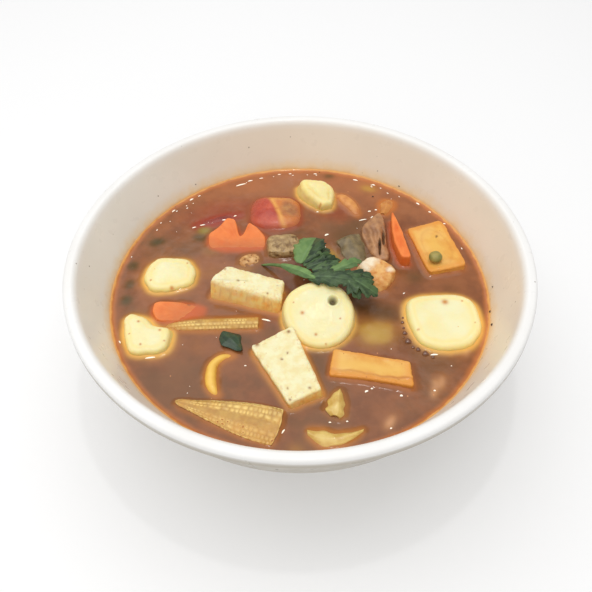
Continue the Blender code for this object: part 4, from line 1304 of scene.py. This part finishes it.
def make_petal(
    node, size, bend, thick, turn, surface, shade, seed=0, shift=((0, 0, 0), (0, 0, 0)), crumple=0.12, narrow=1.6,
    curl=0.0,
):
    """Across u and along v, from -1/2 to 1/2: x = u w (1 - narrow v^2)(1 + 0.8 v) + 4 curl v^2, y = v l, and
    z = bend (1 - 4u^2)(1 - v^2), crumpled by noise."""
    v, u = np.meshgrid(np.linspace(-0.5, 0.5, 48), np.linspace(-0.5, 0.5, 40), indexing="ij")
    ragged = 1 + crumple * (0.3 * np.sin(9 * v + seed) + 0.2 * np.sin(17 * v + 2 * seed))
    x = u * size[0] * (1 - narrow * v * v) * (1 + 0.8 * v) * ragged + 4 * curl * v * v
    own = np.stack([x, v * size[1], bend * (1 - 4 * u * u) * (1 - v * v)], axis=-1)
    vein = np.clip(np.cos(u * 22 + 1.5 * np.sin(4 * v)), 0, 1) ** 2
    own[..., 2] += 0.05 * vein + crumple * noise(own, 3.6, seed)
    own = fitted(turned(own, turn), node, shift)
    piece = mesh_piece(node + "_skin", own.reshape(-1, 3), sheet_faces(48, 40))
    paint(piece, vein=vein.ravel())
    dress(thickened(piece, thick), surface, node, shade=shade)


grey_petal = petal_finish("onion petal", tone(140, 120, 82), tone(106, 90, 60), tone(166, 146, 104), tone(116, 90, 62))
pale_petal = petal_finish("pale petal", tone(226, 196, 114), tone(206, 166, 84), tone(242, 222, 156), tone(196, 142, 72))
gold_petal = petal_finish("gold petal", tone(212, 144, 72), tone(190, 118, 58), tone(232, 176, 106), tone(186, 118, 66))
leaf_petal = petal_finish("leaf bit", tone(60, 80, 56), tone(44, 60, 44), tone(96, 116, 84), tone(60, 62, 42))
make_petal("onion_petal", (14, 15), 2.6, 0.9, (8, 10, 22), grey_petal, tone(118, 92, 66), 91, ((2.0, -1.0, 0), (4.0, 4.0, 0)), 0.3)
make_petal(
    "pale_petal", (8.5, 11.5), 2.0, 0.8, (6, -10, 168), pale_petal, tone(168, 116, 68), 92,
    ((0, -0.6, 1.0), (1.0, 0.4, 0.8)), 0.5, 2.8,
)
make_petal(
    "curved_petal", (6.4, 21), 2.0, 0.8, (0, 0, 92), pale_petal, tone(184, 124, 66), 93,
    ((-0.6, -1.4, 1.2), (-1.0, 1.4, 0.8)), 0.3, 2.4, 2.6,
)
make_petal("orange_petal", (6.5, 9.5), 1.4, 0.8, (-4, 0, -20), gold_petal, tone(196, 122, 64), 94, ((-0.4, -1.0, 0), (1.8, 1.0, 0.5)))
make_petal(
    "dark_leaf_bit", (7.0, 11.5), 0.6, 0.4, (-4, 6, 38), leaf_petal, None, 95,
    ((-0.2, 0, 0.8), (0.2, 0.8, 0.9)), 0.3, 3.1,
)


# %% [markdown]
# ## The herb sprig
#
# The sprig is the one dry, leafy thing in the dish: a light green stem dips into the broth at the left, and
# soft dark leaflets fan out over the round slice. A leaflet is a sheet along a curved rib. Its half width
# follows a sine of the way along, with teeth at its margin; it is folded along the rib, waved by noise, and
# its fine veins are raised. Each leaflet has its own lightness of green, and some carry a painted sheen on
# one half.

# %% Leaflet shape
def leaflet(
    root, tip, width, arch=1.0, fold=0.25, twist=0.0, light=0.3, painted_sheen=0.0, seed=0, teeth=0.12, lobes=2.4, notch=0.3
):
    """Rows u from root to tip, columns v from -1 to 1 across.

    Place: root + u (tip - root), raised by 4 arch u (1 - u), moved sideways by v times the half width and
    raised by (fold |v| + twist v) of it. The margin is swept toward the tip by a sixth of v^2; along each lobe
    it widens slowly, and it is drawn in at once where the next begins.
    Returns the points, the veins and the lightness, to which the argument after light adds a painted sheen on the side
    where v is above 0.
    """
    u, v = np.meshgrid(np.linspace(0.0, 1.0, 46), np.linspace(-1.0, 1.0, 33), indexing="ij")
    root, tip = np.array(root, float), np.array(tip, float)
    side = np.array([-(tip - root)[1], (tip - root)[0], 0.0])
    side /= np.linalg.norm(side)
    saw = np.abs(np.sin(5.5 * np.pi * u + seed)) - 0.5
    half = 0.5 * width * np.sin(np.pi * (0.05 + 0.93 * u**0.8)) ** 0.85 * (1 + teeth * v * v * saw)
    tooth = np.modf(1.3 * lobes * u + 0.3 * seed + 0.4 * (v > 0))[0]
    half *= 1 - 1.4 * notch * (1 - tooth) ** 1.4 * np.clip(4 * u, 0, 1)
    swept = np.clip(u + 0.16 * v * v * np.sin(np.pi * u), 0, 1)
    points = root + swept[..., None] * (tip - root) + (v * half)[..., None] * side
    lift = 4 * arch * u * (1 - u) + half * (fold * np.abs(v) + twist * v - 0.22 * v**4)
    points[..., 2] += lift
    points[..., 2] += 0.5 * noise(points, 5.0, seed) * np.abs(v) ** 0.7
    vein = np.exp(-((v / 0.07) ** 2)) + 0.6 * np.exp(-((np.sin(np.pi * (5 * u - 1.6 * np.abs(v))) / 0.16) ** 2))
    vein = np.clip(vein, 0, 1) * (1 - u**4)
    points[..., 2] += 0.1 * vein
    return points, vein, light + painted_sheen * (v > 0.3 * u - 0.35)


def herb_colour(tree):
    dark = mottle(tree, tone(62, 82, 50), tone(30, 46, 32), 3.0, 3.6)
    bright = mottle(tree, tone(130, 162, 94), tone(100, 136, 76), 4.0, 2.4)
    # The light mask holds each leaflet's lightness and its painted sheen, so part of the bright green is a painted
    # highlight.
    green = blend(tree, mask(tree, "light"), dark, bright)
    veined = blend(tree, maths(tree, "MULTIPLY", mask(tree, "vein"), 0.3), green, tone(138, 168, 122))
    return soak(tree, veined, reach=1.2, lift=0.4, to=tone(92, 82, 50))


herb_finish = finish("herb leaf", herb_colour, rough=0.5, coat=0.06, grain_mm=0.8, depth_mm=0.12, strength=0.6)


# %% Sprig
def make_herb():
    stem = bar(
        [(-16.4, 13.6, 0.6), (-11.0, 10.6, 3.6), (-6.2, 6.6, 6.6), (-1.6, 2.6, 8.8), (4.0, -2.6, 10.8), (12.0, -4.4, 11.4)],
        [0.5, 0.8, 1.0, 1.1, 1.2, 0.7], 0.6, columns=28,
    )
    leaves = [
        leaflet((0.6, 5.0, 9.6), (7.4, 22.4, 7.6), 13.5, 1.4, 0.3, -0.2, 0.05, 0.75, seed=1, notch=0.16),
        leaflet((4.0, 5.4, 9.0), (12.6, 15.2, 8.0), 6.6, 0.8, 0.4, 0.0, 0.05, seed=2),
        leaflet((1.8, 3.6, 9.6), (13.6, 10.4, 8.8), 5.2, 1.2, 0.6, 0.1, 0.0, 0.3, seed=3, notch=0.4),
        leaflet((3.0, 2.0, 10.0), (17.0, 7.2, 9.2), 5.6, 1.2, 0.5, 0.1, 0.04, seed=4, notch=0.4),
        leaflet((5.2, 0.4, 10.4), (18.8, 3.2, 9.8), 6.0, 1.0, 0.4, 0.1, 0.0, 0.26, seed=5, notch=0.4),
        leaflet((6.6, 1.2, 10.2), (15.4, -1.4, 10.6), 6.0, 0.8, 0.3, 0.0, 0.06, seed=6, notch=0.3),
        leaflet((12.0, -1.6, 11.0), (25.6, 6.4, 9.6), 6.6, 1.0, 0.2, 0.0, 0.5, 0.2, seed=7, notch=0.3),
        leaflet((3.6, -4.2, 11.2), (21.4, -6.6, 12.0), 8.6, 1.0, 0.1, 0.12, 0.1, seed=8, notch=0.26),
        leaflet((17.6, -4.6, 12.0), (31.0, -11.6, 8.4), 11.5, 1.3, 0.14, 0.0, 0.12, 0.1, seed=9, notch=0.4),
        leaflet((17.0, -2.8, 11.6), (30.0, -3.0, 9.2), 6.8, 1.0, 0.2, 0.0, 0.05, seed=10, notch=0.36),
        leaflet((18.4, -5.4, 12.2), (23.6, -14.2, 9.0), 7.4, 1.0, 0.2, 0.0, 0.1, seed=11, notch=0.36),
        leaflet((-7.6, 7.2, 7.2), (6.2, -5.8, 12.0), 5.4, 0.8, 0.1, 0.0, 0.55, 0.4, seed=12, teeth=0.05, notch=0.1),
    ]
    sizes = [stem.shape[0] * stem.shape[1]] + [leaf[0].shape[0] * leaf[0].shape[1] for leaf in leaves]
    together = fitted(np.concatenate([stem.reshape(-1, 3)] + [leaf[0].reshape(-1, 3) for leaf in leaves]), "herb_sprig")
    parts = np.split(together, np.cumsum(sizes)[:-1])
    piece = skin("herb_stem", parts[0].reshape(stem.shape))
    light = 0.65 + 0.2 * noise(parts[0].reshape(stem.shape), 4.0, 9)
    paint(piece, light=light, vein=np.zeros(stem.shape[:2]))
    dress(piece, herb_finish, "herb_sprig")
    rows, columns = leaves[0][1].shape
    faces = np.concatenate([sheet_faces(rows, columns) + rows * columns * k for k in range(len(leaves))])
    faces = faces[:, ::-1]
    piece = mesh_piece("herb_leaves", np.concatenate(parts[1:]), faces)
    paint(
        piece, vein=np.concatenate([leaf[1].ravel() for leaf in leaves]),
        light=np.concatenate([leaf[2].ravel() for leaf in leaves]),
    )
    dress(thickened(piece, 0.3, 0.0), herb_finish, "herb_sprig")


make_herb()


# %% [markdown]
# ## What is sunk
#
# Peas, cut greens, a piece of cabbage and a few paler bits lie just under the surface, where they show only
# as soft blurred patches. They are made as real lumps, a little below the level; the broth, made next, takes
# its patches from them. Two broad patches of greens under the herb's right side stand partly for sunk leaves
# and partly for the herb's shadow, painted on the broth.

# %% Sunk pieces
def greens_colour(tree):
    return mottle(tree, tone(66, 78, 46), tone(44, 56, 36), 3.0, 2.6)


def cabbage_colour(tree):
    return mottle(tree, tone(206, 176, 100), tone(176, 144, 78), 4.0, 2.6)


greens_finish = finish("sunk greens", greens_colour)
cabbage_finish = finish("sunk cabbage", cabbage_colour)


def make_sunk(name, surface, shade, places, seed):
    """Flattened lumps joined in one mesh. A place is (x, y, length, width, depth of its top, turn)."""
    points, quads, ends = [], [], []
    for number, (x, y, length, width, depth, angle) in enumerate(places):
        own = lump((length, width, 0.5 * width + 1.0), 0.92, 22, 36)
        own = own + normals_of(own) * (0.6 * rough_noise(own + 40.0 * number, 4.0, seed))[..., None]
        own = turned(own, (0, 0, angle))
        own += np.array([x, y, LEVEL - depth - own[..., 2].max()])
        quad, end = closed_faces(22, 36)
        base = sum(len(part) for part in points)
        points.append(with_poles(own))
        quads.append(quad + base)
        ends.append(end + base)
    piece = mesh_piece(name, np.concatenate(points), np.concatenate(quads), np.concatenate(ends))
    return dress(piece, surface, shade=shade)


# The patches at (25, -7) and (35, -13) are partly sunk leaves and partly the herb's painted shadow.
make_sunk(
    "sunk_greens", greens_finish, tone(62, 72, 46),
    [
        (-74.2, 14.1, 6.0, 4.6, 0.5, 80), (-73.9, 3.0, 5.6, 4.0, 0.8, 90), (-74.3, -6.1, 6.4, 5.0, 0.4, 60),
        (-65.6, 29.2, 7.6, 4.6, 0.6, 10), (-46.1, 31.7, 8.4, 5.6, 0.8, -10), (15.1, 75.7, 5.0, 3.4, 1.0, 10),
        (25.0, -7.0, 22.0, 14.0, 1.5, -40), (35.0, -13.0, 24.0, 10.0, 1.5, -10), (50.5, 6.4, 9.0, 6.0, 1.6, 10),
        (-22.7, -28.9, 8.0, 5.5, 1.8, -50), (42.3, 12.0, 9.0, 8.0, 1.5, 30), (-2.0, 34.3, 14.0, 5.6, 1.5, 5),
        (-14.7, 10.1, 10.0, 8.0, 1.5, -20), (22.0, 30.0, 16.0, 12.0, 1.8, -40), (8.5, -40.0, 7.0, 14.0, 1.8, 20),
        (-12.5, -24.5, 8.0, 5.0, 1.6, 30), (28.0, 40.0, 12.0, 7.0, 2.4, 10), (6.0, 60.0, 30.0, 12.0, 4.4, 10),
        (-56.0, 22.0, 14.0, 5.0, 3.6, 40), (43.0, -66.0, 20.0, 7.0, 4.4, 30), (-2.0, -66.0, 10.0, 6.0, 3.4, 0),
        (66.0, -2.0, 12.0, 5.0, 3.6, -60), (-60.0, -44.0, 16.0, 8.0, 4.6, -40), (36.0, -28.0, 26.0, 8.0, 3.0, 5),
    ],
    101,
)
make_sunk(
    "sunk_cabbage", cabbage_finish, tone(200, 174, 100),
    [
        (31.0, -24.2, 20.0, 17.0, 0.3, 6), (34.3, 66.2, 8.4, 4.6, 1.0, -20), (-24.2, 12.6, 7.0, 5.0, 1.2, 20),
        (-1.6, -77.8, 4.0, 2.4, 1.6, 0), (-36.4, 24.7, 15.0, 5.0, 2.0, 12),
        (15.5, 20.5, 4.0, 13.0, 0.9, 30), (-38.0, 10.0, 10.0, 5.0, 3.4, 20), (-42.0, -30.0, 6.0, 14.0, 4.2, 10),
    ],
    103,
)
make_sunk(
    "sunk_shreds", cabbage_finish, tone(222, 180, 156),
    [(51.8, -51.6, 1.8, 10.0, 0.5, -12), (54.8, -48.6, 1.2, 8.0, 0.6, -20), (33.6, -66.0, 1.8, 8.0, 0.5, -28), (67.0, -34.5, 1.6, 7.0, 1.0, -24)],
    109,
)
make_sunk("sunk_peas", pea_finish, tone(150, 140, 76), [(-44.6, 37.5, 5.6, 5.2, 0.1, 0)], 105)
make_sunk(
    "sunk_tomato", tomato_finish, tone(156, 60, 52),
    [
        (-38.0, 49.5, 44.0, 19.0, 1.5, 10), (-12.0, 37.0, 24.0, 7.0, 1.8, 8), (14.0, 50.0, 24.0, 12.0, 1.7, -30),
        (-26.0, 52.0, 12.0, 14.0, 1.6, 0),
    ],
    107,
)


# %% [markdown]
# ## The broth
#
# The broth is a cloudy orange-brown liquid. Its top is a fine square grid laid over the disc, so that its
# cells stay even. It climbs the wall of the bowl and every piece by a small meniscus, and it is rippled by
# noise. Seen through a cloudy liquid, a sunk piece fades with its depth and turns orange on the way: each
# millimetre lets through nearly all red, less green and little blue. So a map is made of the highest point
# of any piece over each cell, and the colour that shows there is worked out from its depth, sharper for what
# lies near the top than for what lies deep.

# %% Depth map
CELL = 0.5
WALL = INNER_RIM - (INNER_EDGE - LEVEL) / math.tan(FLANK)
BROTH = np.array(tone(146, 94, 64)[:3])
CLEAR = np.array([0.985, 0.86, 0.62])
CLOUD = 2.2


def cells_of(points):
    return np.clip(((points[..., :2] + WALL + 3.0) / CELL).astype(int), 0, int(2 * (WALL + 3.0) / CELL))


def from_map(image, points):
    """The map at any points, blended between the middles of the four cells about each."""
    place = np.clip((points[..., :2] + WALL + 3.0) / CELL - 0.5, 0, image.shape[0] - 1.001)
    column, row = place[..., 0].astype(int), place[..., 1].astype(int)
    s, t = place[..., 0] - column, place[..., 1] - row
    if image.ndim == 3:
        s, t = s[..., None], t[..., None]
    near = (1 - s) * image[row, column] + s * image[row, column + 1]
    return (1 - t) * near + t * ((1 - s) * image[row + 1, column] + s * image[row + 1, column + 1])


def blurred(image, radius):
    """Smooth an image by a bell curve, radius in millimetres, by way of its frequencies."""
    down = np.fft.fftfreq(image.shape[0])[:, None]
    across = np.fft.rfftfreq(image.shape[1])[None]
    bell = np.exp(-2 * (np.pi * radius / CELL) ** 2 * (down**2 + across**2))
    return np.fft.irfft2(np.fft.rfft2(image) * bell, s=image.shape)


def map_pieces():
    """For each cell the height of the highest piece over it, and that piece's colour."""
    side = int(2 * (WALL + 3.0) / CELL) + 1
    height, shade = np.full((side, side), -99.0), np.zeros((side, side, 3))
    for points, colour in under_glass:
        points = points[(points[:, 2] > LEVEL - 9.0) & (np.hypot(points[:, 0], points[:, 1]) < WALL + 1.0)]
        single = np.full((side, side), -99.0)
        spot = cells_of(points)
        np.maximum.at(single, (spot[:, 1], spot[:, 0]), points[:, 2])
        near = np.max([np.roll(single, step, axis) for step in (-1, 1) for axis in (0, 1)], axis=0)
        single = np.where(single > -90, single, near)
        higher = single > height
        height = np.where(higher, single, height)
        shade[higher] = colour
    return height, shade


def layer(shown, softness):
    """How far one layer of pieces shows through, and its colour, both blurred."""
    seen = np.where(shown, np.exp(-depth_map / CLOUD), 0.0)
    share = blurred(seen, softness)
    dyed = shade_map * CLEAR ** (depth_map[..., None] + 0.6)
    colour = np.stack([blurred(seen * dyed[..., channel], softness) for channel in range(3)], axis=-1)
    return np.clip(share, 0, 1)[..., None], colour / np.maximum(share, 1e-3)[..., None]


top_map, shade_map = map_pieces()
depth_map = np.maximum(LEVEL - top_map, 0.0)
near_share, near_colour = layer((top_map > -90) & (depth_map < 1.5), 0.85)
deep_share, deep_colour = layer((top_map > -90) & (depth_map >= 1.5), 1.7)
deep_share = deep_share * (1 - near_share)
soft_seen = near_share + deep_share
soft_dyed = (near_share * near_colour + deep_share * deep_colour) / np.maximum(soft_seen, 1e-3)
print(f"{(top_map > LEVEL).mean():.0%} of the map stands above the broth, {(soft_seen > 0.05).mean():.0%} shows")


# %% Broth shape
def make_broth(steps=300):
    """A square grid bent to a disc: x = u sqrt(1 - v^2/2), y = v sqrt(1 - u^2/2), closed by rings down the wall."""
    v, u = np.meshgrid(np.linspace(-1, 1, steps), np.linspace(-1, 1, steps), indexing="ij")
    radius = WALL + 0.5
    x = radius * u * np.sqrt(1 - 0.5 * v * v)
    y = radius * v * np.sqrt(1 - 0.5 * u * u)
    top = np.stack([x, y, np.full_like(x, LEVEL)], axis=-1)
    standing = top_map > LEVEL + 0.3
    climb = np.minimum(1.1 * blurred(standing.astype(float), 0.8), np.where(standing, top_map - LEVEL - 0.3, 1.0))
    to_wall = radius - np.hypot(x, y)
    ripple = 0.10 * rough_noise(top, 16.0, 111) + 0.035 * noise(top, 3.2, 112)
    top[..., 2] += ripple + from_map(blurred(climb, 0.5), top) + 1.0 * np.exp(-to_wall / 0.9)
    line = np.arange(steps)
    ring = np.concatenate([line, steps * line[1:] + steps - 1, steps * steps - 1 - line[1:], steps * line[-2:0:-1]])
    border = top.reshape(-1, 3)[ring]
    profile = [(1.0, -2.0), (0.978, -8.0), (0.95, -14.0), (0.90, -20.0), (0.83, -26.0), (0.72, -32.0), (0.58, -36.5), (0.4, -38.9)]
    lower = [np.column_stack([border[:, :2] * scale, np.full(len(ring), LEVEL + drop)]) for scale, drop in profile]
    count, base = len(ring), steps * steps
    points = np.concatenate([top.reshape(-1, 3), *lower, [[0.0, 0.0, LEVEL - 39.2]]])
    rows = np.concatenate([[ring], base + np.arange(len(lower) * count).reshape(len(lower), count)])
    wall = np.stack([rows[:-1], rows[1:], np.roll(rows[1:], -1, 1), np.roll(rows[:-1], -1, 1)], axis=-1)
    end = np.stack([np.full(count, len(points) - 1), np.roll(rows[-1], -1), rows[-1]], axis=1)
    piece = mesh_piece("cloudy_broth", points, sheet_faces(steps, steps), wall.reshape(-1, 4), end)
    beneath = np.ones((len(points), 4))
    beneath[:, :3] = BROTH
    beneath[:base, :3] = from_map(soft_dyed, top).reshape(-1, 3)
    layer = piece.data.attributes.new("beneath", "FLOAT_COLOR", "POINT")
    layer.data.foreach_set("color", beneath.ravel().astype(np.float32))
    extra = np.zeros(len(points))
    seen_here, wall_here = extra.copy(), extra + 9.0
    seen_here[:base] = from_map(soft_seen[..., 0], top).ravel()
    wall_here[:base] = to_wall.ravel()
    paint(piece, seen=seen_here, to_wall=wall_here)
    return piece


def broth_colour(tree):
    place = object_place(tree)
    liquid = mottle(tree, tone(158, 101, 66), tone(136, 86, 58), 9.0, 2.6)
    murk = fade(tree, grain(tree, place, 30.0, 4.0), 0.46, 0.64, 0.0, 0.6)
    murky = blend(tree, murk, liquid, tone(126, 92, 64))
    swirl = fade(tree, grain(tree, place, 19.0, 5.0, 0.65), 0.52, 0.66, 0.0, 0.45)
    swirled = blend(tree, swirl, murky, tone(166, 105, 68))
    # Painted light and shade: the broth is darker toward the near side and a lighter orange toward the far wall.
    depth = put(tree, "ShaderNodeSeparateXYZ", {0: place}).outputs["Y"]
    near = blend(tree, fade(tree, depth, -60.0 * MM, 50.0 * MM, 0.24, 0.05), swirled, tone(92, 58, 30))
    far = blend(tree, fade(tree, depth, 40.0 * MM, 78.0 * MM, 0.0, 0.45), near, tone(196, 122, 78))
    beneath = put(tree, "ShaderNodeAttribute", attribute_name="beneath").outputs["Color"]
    covered = blend(tree, mask(tree, "seen"), far, beneath)
    wavy = maths(tree, "ADD", mask(tree, "to_wall"), maths(tree, "MULTIPLY", grain(tree, place, 5.0), -1.4))
    glow = fade(tree, wavy, -0.4, 2.8, 0.85, 0.0)
    oily = blend(tree, glow, covered, tone(206, 124, 64))
    line = fade(tree, wavy, -0.4, 0.5, 0.9, 0.0)
    lined = blend(tree, line, oily, tone(236, 176, 100))
    crumbs = speckle(tree, lined, tone(96, 72, 44), 5.0, 0.3, 0.16)
    return speckle(tree, crumbs, tone(206, 142, 92), 3.4, 0.24, 0.14)


broth_finish = finish("cloudy broth", broth_colour, rough=0.14, coat=0.0, grain_mm=2.6, depth_mm=0.12, strength=0.5)
broth_finish.node_tree.nodes["Principled BSDF"].inputs["IOR"].default_value = 1.34
dress(make_broth(), broth_finish, "broth")


# %% [markdown]
# ## Bubbles, bright drops and flakes
#
# Short curved glints lie where the broth meets the wall and the pieces. They are painted highlights: each
# is a small flat dome, longer than wide, white and glowing a little, the whitest thing on the broth. A few
# larger, dark-rimmed bubbles cling to the right slice, and some coarse pepper sticks to the wall above the
# broth. Beside those at their places, loose glints are scattered by a seeded random number maker.

# %% Small domes
def domes(places, flat=0.45, rings=7, columns=14):
    """One array of points for many small balls. A place is (x, y, z, length, width, turn in degrees)."""
    ball = lump((1.0, 1.0, flat), 1.0, rings, columns)
    place = np.array(places, float)
    turn = np.radians(place[:, 5])[:, None, None]
    x, y = ball[..., 0] * place[:, 3, None, None], ball[..., 1] * place[:, 4, None, None]
    height = ball[..., 2] * np.minimum(place[:, 3], place[:, 4])[:, None, None]
    bow = -0.9 * (x / place[:, 3, None, None]) ** 2 * place[:, 4, None, None]
    across = np.stack([x * np.cos(turn) - (y + bow) * np.sin(turn), x * np.sin(turn) + (y + bow) * np.cos(turn), height], -1)
    return across + place[:, None, None, :3]


def dome_piece(name, grid, surface):
    """Join the balls, each with its two poles, into one mesh."""
    count, rings, columns, _ = grid.shape
    flat = grid.reshape(count, -1, 3)
    points = np.concatenate([flat, grid[:, :1].mean(axis=2), grid[:, -1:].mean(axis=2)], axis=1)
    quads, ends = closed_faces(rings, columns)
    steps = (np.arange(count) * (rings * columns + 2))[:, None, None]
    piece = mesh_piece(name, points.reshape(-1, 3), (quads + steps).reshape(-1, 4), (ends + steps).reshape(-1, 3))
    return dress(piece, surface)


def painted_glint_colour(tree):
    return mottle(tree, tone(255, 252, 240), tone(255, 236, 200), 1.2, 2.0)


def bubble_colour(tree):
    """A bubble's painted look: its top the dark of the broth that shows through, its foot a paler ring as a painted
    highlight.
    """
    height = put(tree, "ShaderNodeSeparateXYZ", {0: object_place(tree)}).outputs["Z"]
    above = maths(tree, "SUBTRACT", maths(tree, "MULTIPLY", height, 1.0 / MM), LEVEL)
    film = mottle(tree, tone(128, 84, 58), tone(104, 66, 48), 1.0, 2.4)
    return blend(tree, fade(tree, above, 0.45, 0.1), film, tone(190, 134, 78))


def flake_colour(tree):
    return mottle(tree, tone(96, 66, 44), tone(54, 42, 34), 0.8, 3.0)


painted_glint_finish = finish("painted glints", painted_glint_colour, rough=0.2, coat=0.6, grain_mm=0.6, depth_mm=0.03)
# The painted glints glow a little, as highlights would, though they are no lamp.
painted_glint_finish.node_tree.nodes["Principled BSDF"].inputs["Emission Color"].default_value = (1.0, 0.97, 0.9, 1.0)
painted_glint_finish.node_tree.nodes["Principled BSDF"].inputs["Emission Strength"].default_value = 0.25
bubble_finish = finish("bubbles", bubble_colour, rough=0.15, coat=0.6, grain_mm=0.8, depth_mm=0.03)
flake_finish = finish("pepper flakes", flake_colour, rough=0.5, coat=0.05, grain_mm=0.4, depth_mm=0.1)


def make_painted_glints():
    dice = np.random.default_rng(7)
    # Each painted glint is (x, y, length, width, turn); loose ones follow the wall and lie over the broth.
    arcs = [
        (-29.0, 69.5, 5.5, 0.8, 22), (-24.5, 72.5, 2.6, 0.7, 18), (-19.0, 74.4, 2.0, 0.6, 12), (-10.0, 77.3, 1.6, 0.6, 5),
        (-4.5, 77.8, 1.4, 0.6, 0), (8.2, 77.6, 1.8, 0.6, -6), (28.2, 72.6, 2.6, 0.8, -20), (37.0, 68.8, 1.8, 0.7, -28),
        (57.4, 54.6, 2.0, 0.8, -44), (-52.6, 58.6, 2.2, 0.8, 42), (-49.0, 61.2, 1.4, 0.6, 38), (-60.4, 50.4, 2.2, 0.7, 50),
        (-49.4, 38.8, 2.0, 0.6, 20), (-45.6, 40.4, 2.6, 0.6, 14), (-41.0, 41.8, 1.6, 0.6, 20), (-36.0, 43.8, 3.0, 0.7, 10),
        (-30.6, 46.6, 1.6, 0.7, 30), (-59.6, -36.4, 4.6, 0.8, 8), (-55.6, -35.2, 1.4, 0.6, 60), (-14.0, -17.4, 4.0, 0.8, -16),
        (33.6, 49.4, 1.6, 0.8, 10), (36.8, 50.4, 1.2, 0.7, 0), (30.0, 43.4, 4.0, 0.6, 16), (34.4, 45.2, 2.0, 0.5, 50),
        (48.6, 15.0, 1.6, 0.8, 20), (57.0, 8.6, 2.2, 0.5, 14), (70.6, 12.0, 1.8, 0.6, 30), (12.6, 33.4, 2.2, 1.0, 30),
        (53.6, -35.6, 3.2, 0.7, 4), (25.4, -52.8, 1.6, 0.8, 30), (27.6, -51.6, 1.0, 0.7, 0), (38.6, -54.8, 1.2, 0.9, 0),
        (1.4, -58.8, 2.4, 0.7, 24), (-6.6, -70.4, 2.8, 0.8, 56), (22.0, -13.6, 2.6, 0.5, -6), (20.4, -22.4, 1.6, 0.5, 10),
        (14.6, -60.4, 1.0, 0.7, 0), (11.0, -66.4, 1.0, 0.6, 0), (17.4, -66.0, 0.9, 0.6, 20), (8.8, 49.2, 1.2, 0.7, 0),
        (51.6, -52.6, 1.0, 0.7, 0), (33.4, -69.0, 1.0, 0.6, 30), (-22.4, 26.4, 1.2, 0.5, 0), (-73.2, -28.6, 1.6, 0.5, -60),
        (68.2, 40.4, 1.2, 0.7, 0), (62.4, 48.6, 1.4, 0.7, -40), (-21.6, -40.6, 1.0, 0.5, 0), (44.8, -3.0, 1.2, 0.5, 40),
    ]
    arcs += [
        (reach * math.cos(turn), reach * math.sin(turn), length, 0.5, math.degrees(turn) + 90)
        for turn, reach, length in zip(dice.uniform(0.3, 2.9, 18), dice.normal(77.4, 0.9, 18), dice.uniform(0.5, 1.3, 18))
    ]
    around = dice.uniform(0.0, 2 * math.pi, 34)
    reach = 76.0 * np.sqrt(dice.uniform(0.0, 1.0, 34))
    arcs += [
        (far * math.cos(turn), far * math.sin(turn), size, 0.8 * size, 0)
        for turn, far, size in zip(around, reach, dice.uniform(0.25, 0.55, 34))
    ]
    places = [(x, y, LEVEL + 0.18, length, width, turn) for x, y, length, width, turn in arcs]
    dome_piece("painted_glints", domes(places), painted_glint_finish)


def make_bubbles():
    ring = [
        (43.0, -18.6, 1.7), (43.2, -21.6, 1.3), (43.4, -24.2, 2.4), (44.3, -28.4, 3.2), (42.8, -26.4, 1.0),
        (46.0, -31.4, 1.6), (47.9, -32.6, 2.2), (50.6, -34.6, 3.0), (53.4, -36.4, 1.6), (43.4, -16.2, 1.2),
    ]
    places = [(x - 0.4, y - 0.4, LEVEL + 0.2, 0.85 * size, 0.85 * size, 0) for x, y, size in ring]
    dome_piece("bubbles", domes(places, 0.6, 9, 18), bubble_finish)


def make_flakes():
    """Flakes on the wall, which leans by FLANK: at height z its radius is INNER_RIM - (INNER_EDGE - z) / tan."""
    flakes = [(-16.0, 47.4, 1.6), (-2.0, 48.6, 0.9), (-10.0, 45.6, 1.3), (53.0, 47.0, 1.0), (62.0, 50.0, 0.6), (128.0, 49.0, 0.7)]
    places = []
    for turn, height, size in flakes:
        radius = INNER_RIM - (INNER_EDGE - height) / math.tan(FLANK) - 0.1
        angle = math.radians(turn)
        places.append((radius * math.cos(angle), radius * math.sin(angle), height, size, 0.7 * size, turn + 60))
    loose = [(-54.6, -9.0, 1.5, 0.8, 20), (-51.8, -9.4, 0.8, 0.6, 0), (36.0, 60.0, 1.0, 0.7, 10), (71.0, -41.0, 0.9, 0.6, 0)]
    places += [(x, y, LEVEL + 0.3, length, width, turn) for x, y, length, width, turn in loose]
    dome_piece("pepper_flakes", domes(places, 0.5), flake_finish)


make_painted_glints()
make_bubbles()
make_flakes()


# %% [markdown]
# ## Floor
#
# The floor is a plain pale sheet far wider than the dish.

# %% Floor
def make_floor():
    width = 3000.0
    x, y = np.meshgrid(np.linspace(-width, width, 5), np.linspace(-width, width, 5))
    points = np.stack([x, y, np.zeros_like(x)], axis=-1).reshape(-1, 3)
    floor = mesh_piece("floor", points, sheet_faces(5, 5))
    surface = bpy.data.materials.new("pale floor")
    surface.use_nodes = True
    shader = surface.node_tree.nodes["Principled BSDF"]
    shader.inputs["Base Color"].default_value = (0.72, 0.72, 0.72, 1.0)
    shader.inputs["Emission Color"].default_value = (1.0, 1.0, 1.0, 1.0)
    shader.inputs["Emission Strength"].default_value = 0.28
    shader.inputs["Roughness"].default_value = 0.9
    floor.data.materials.append(surface)


make_floor()
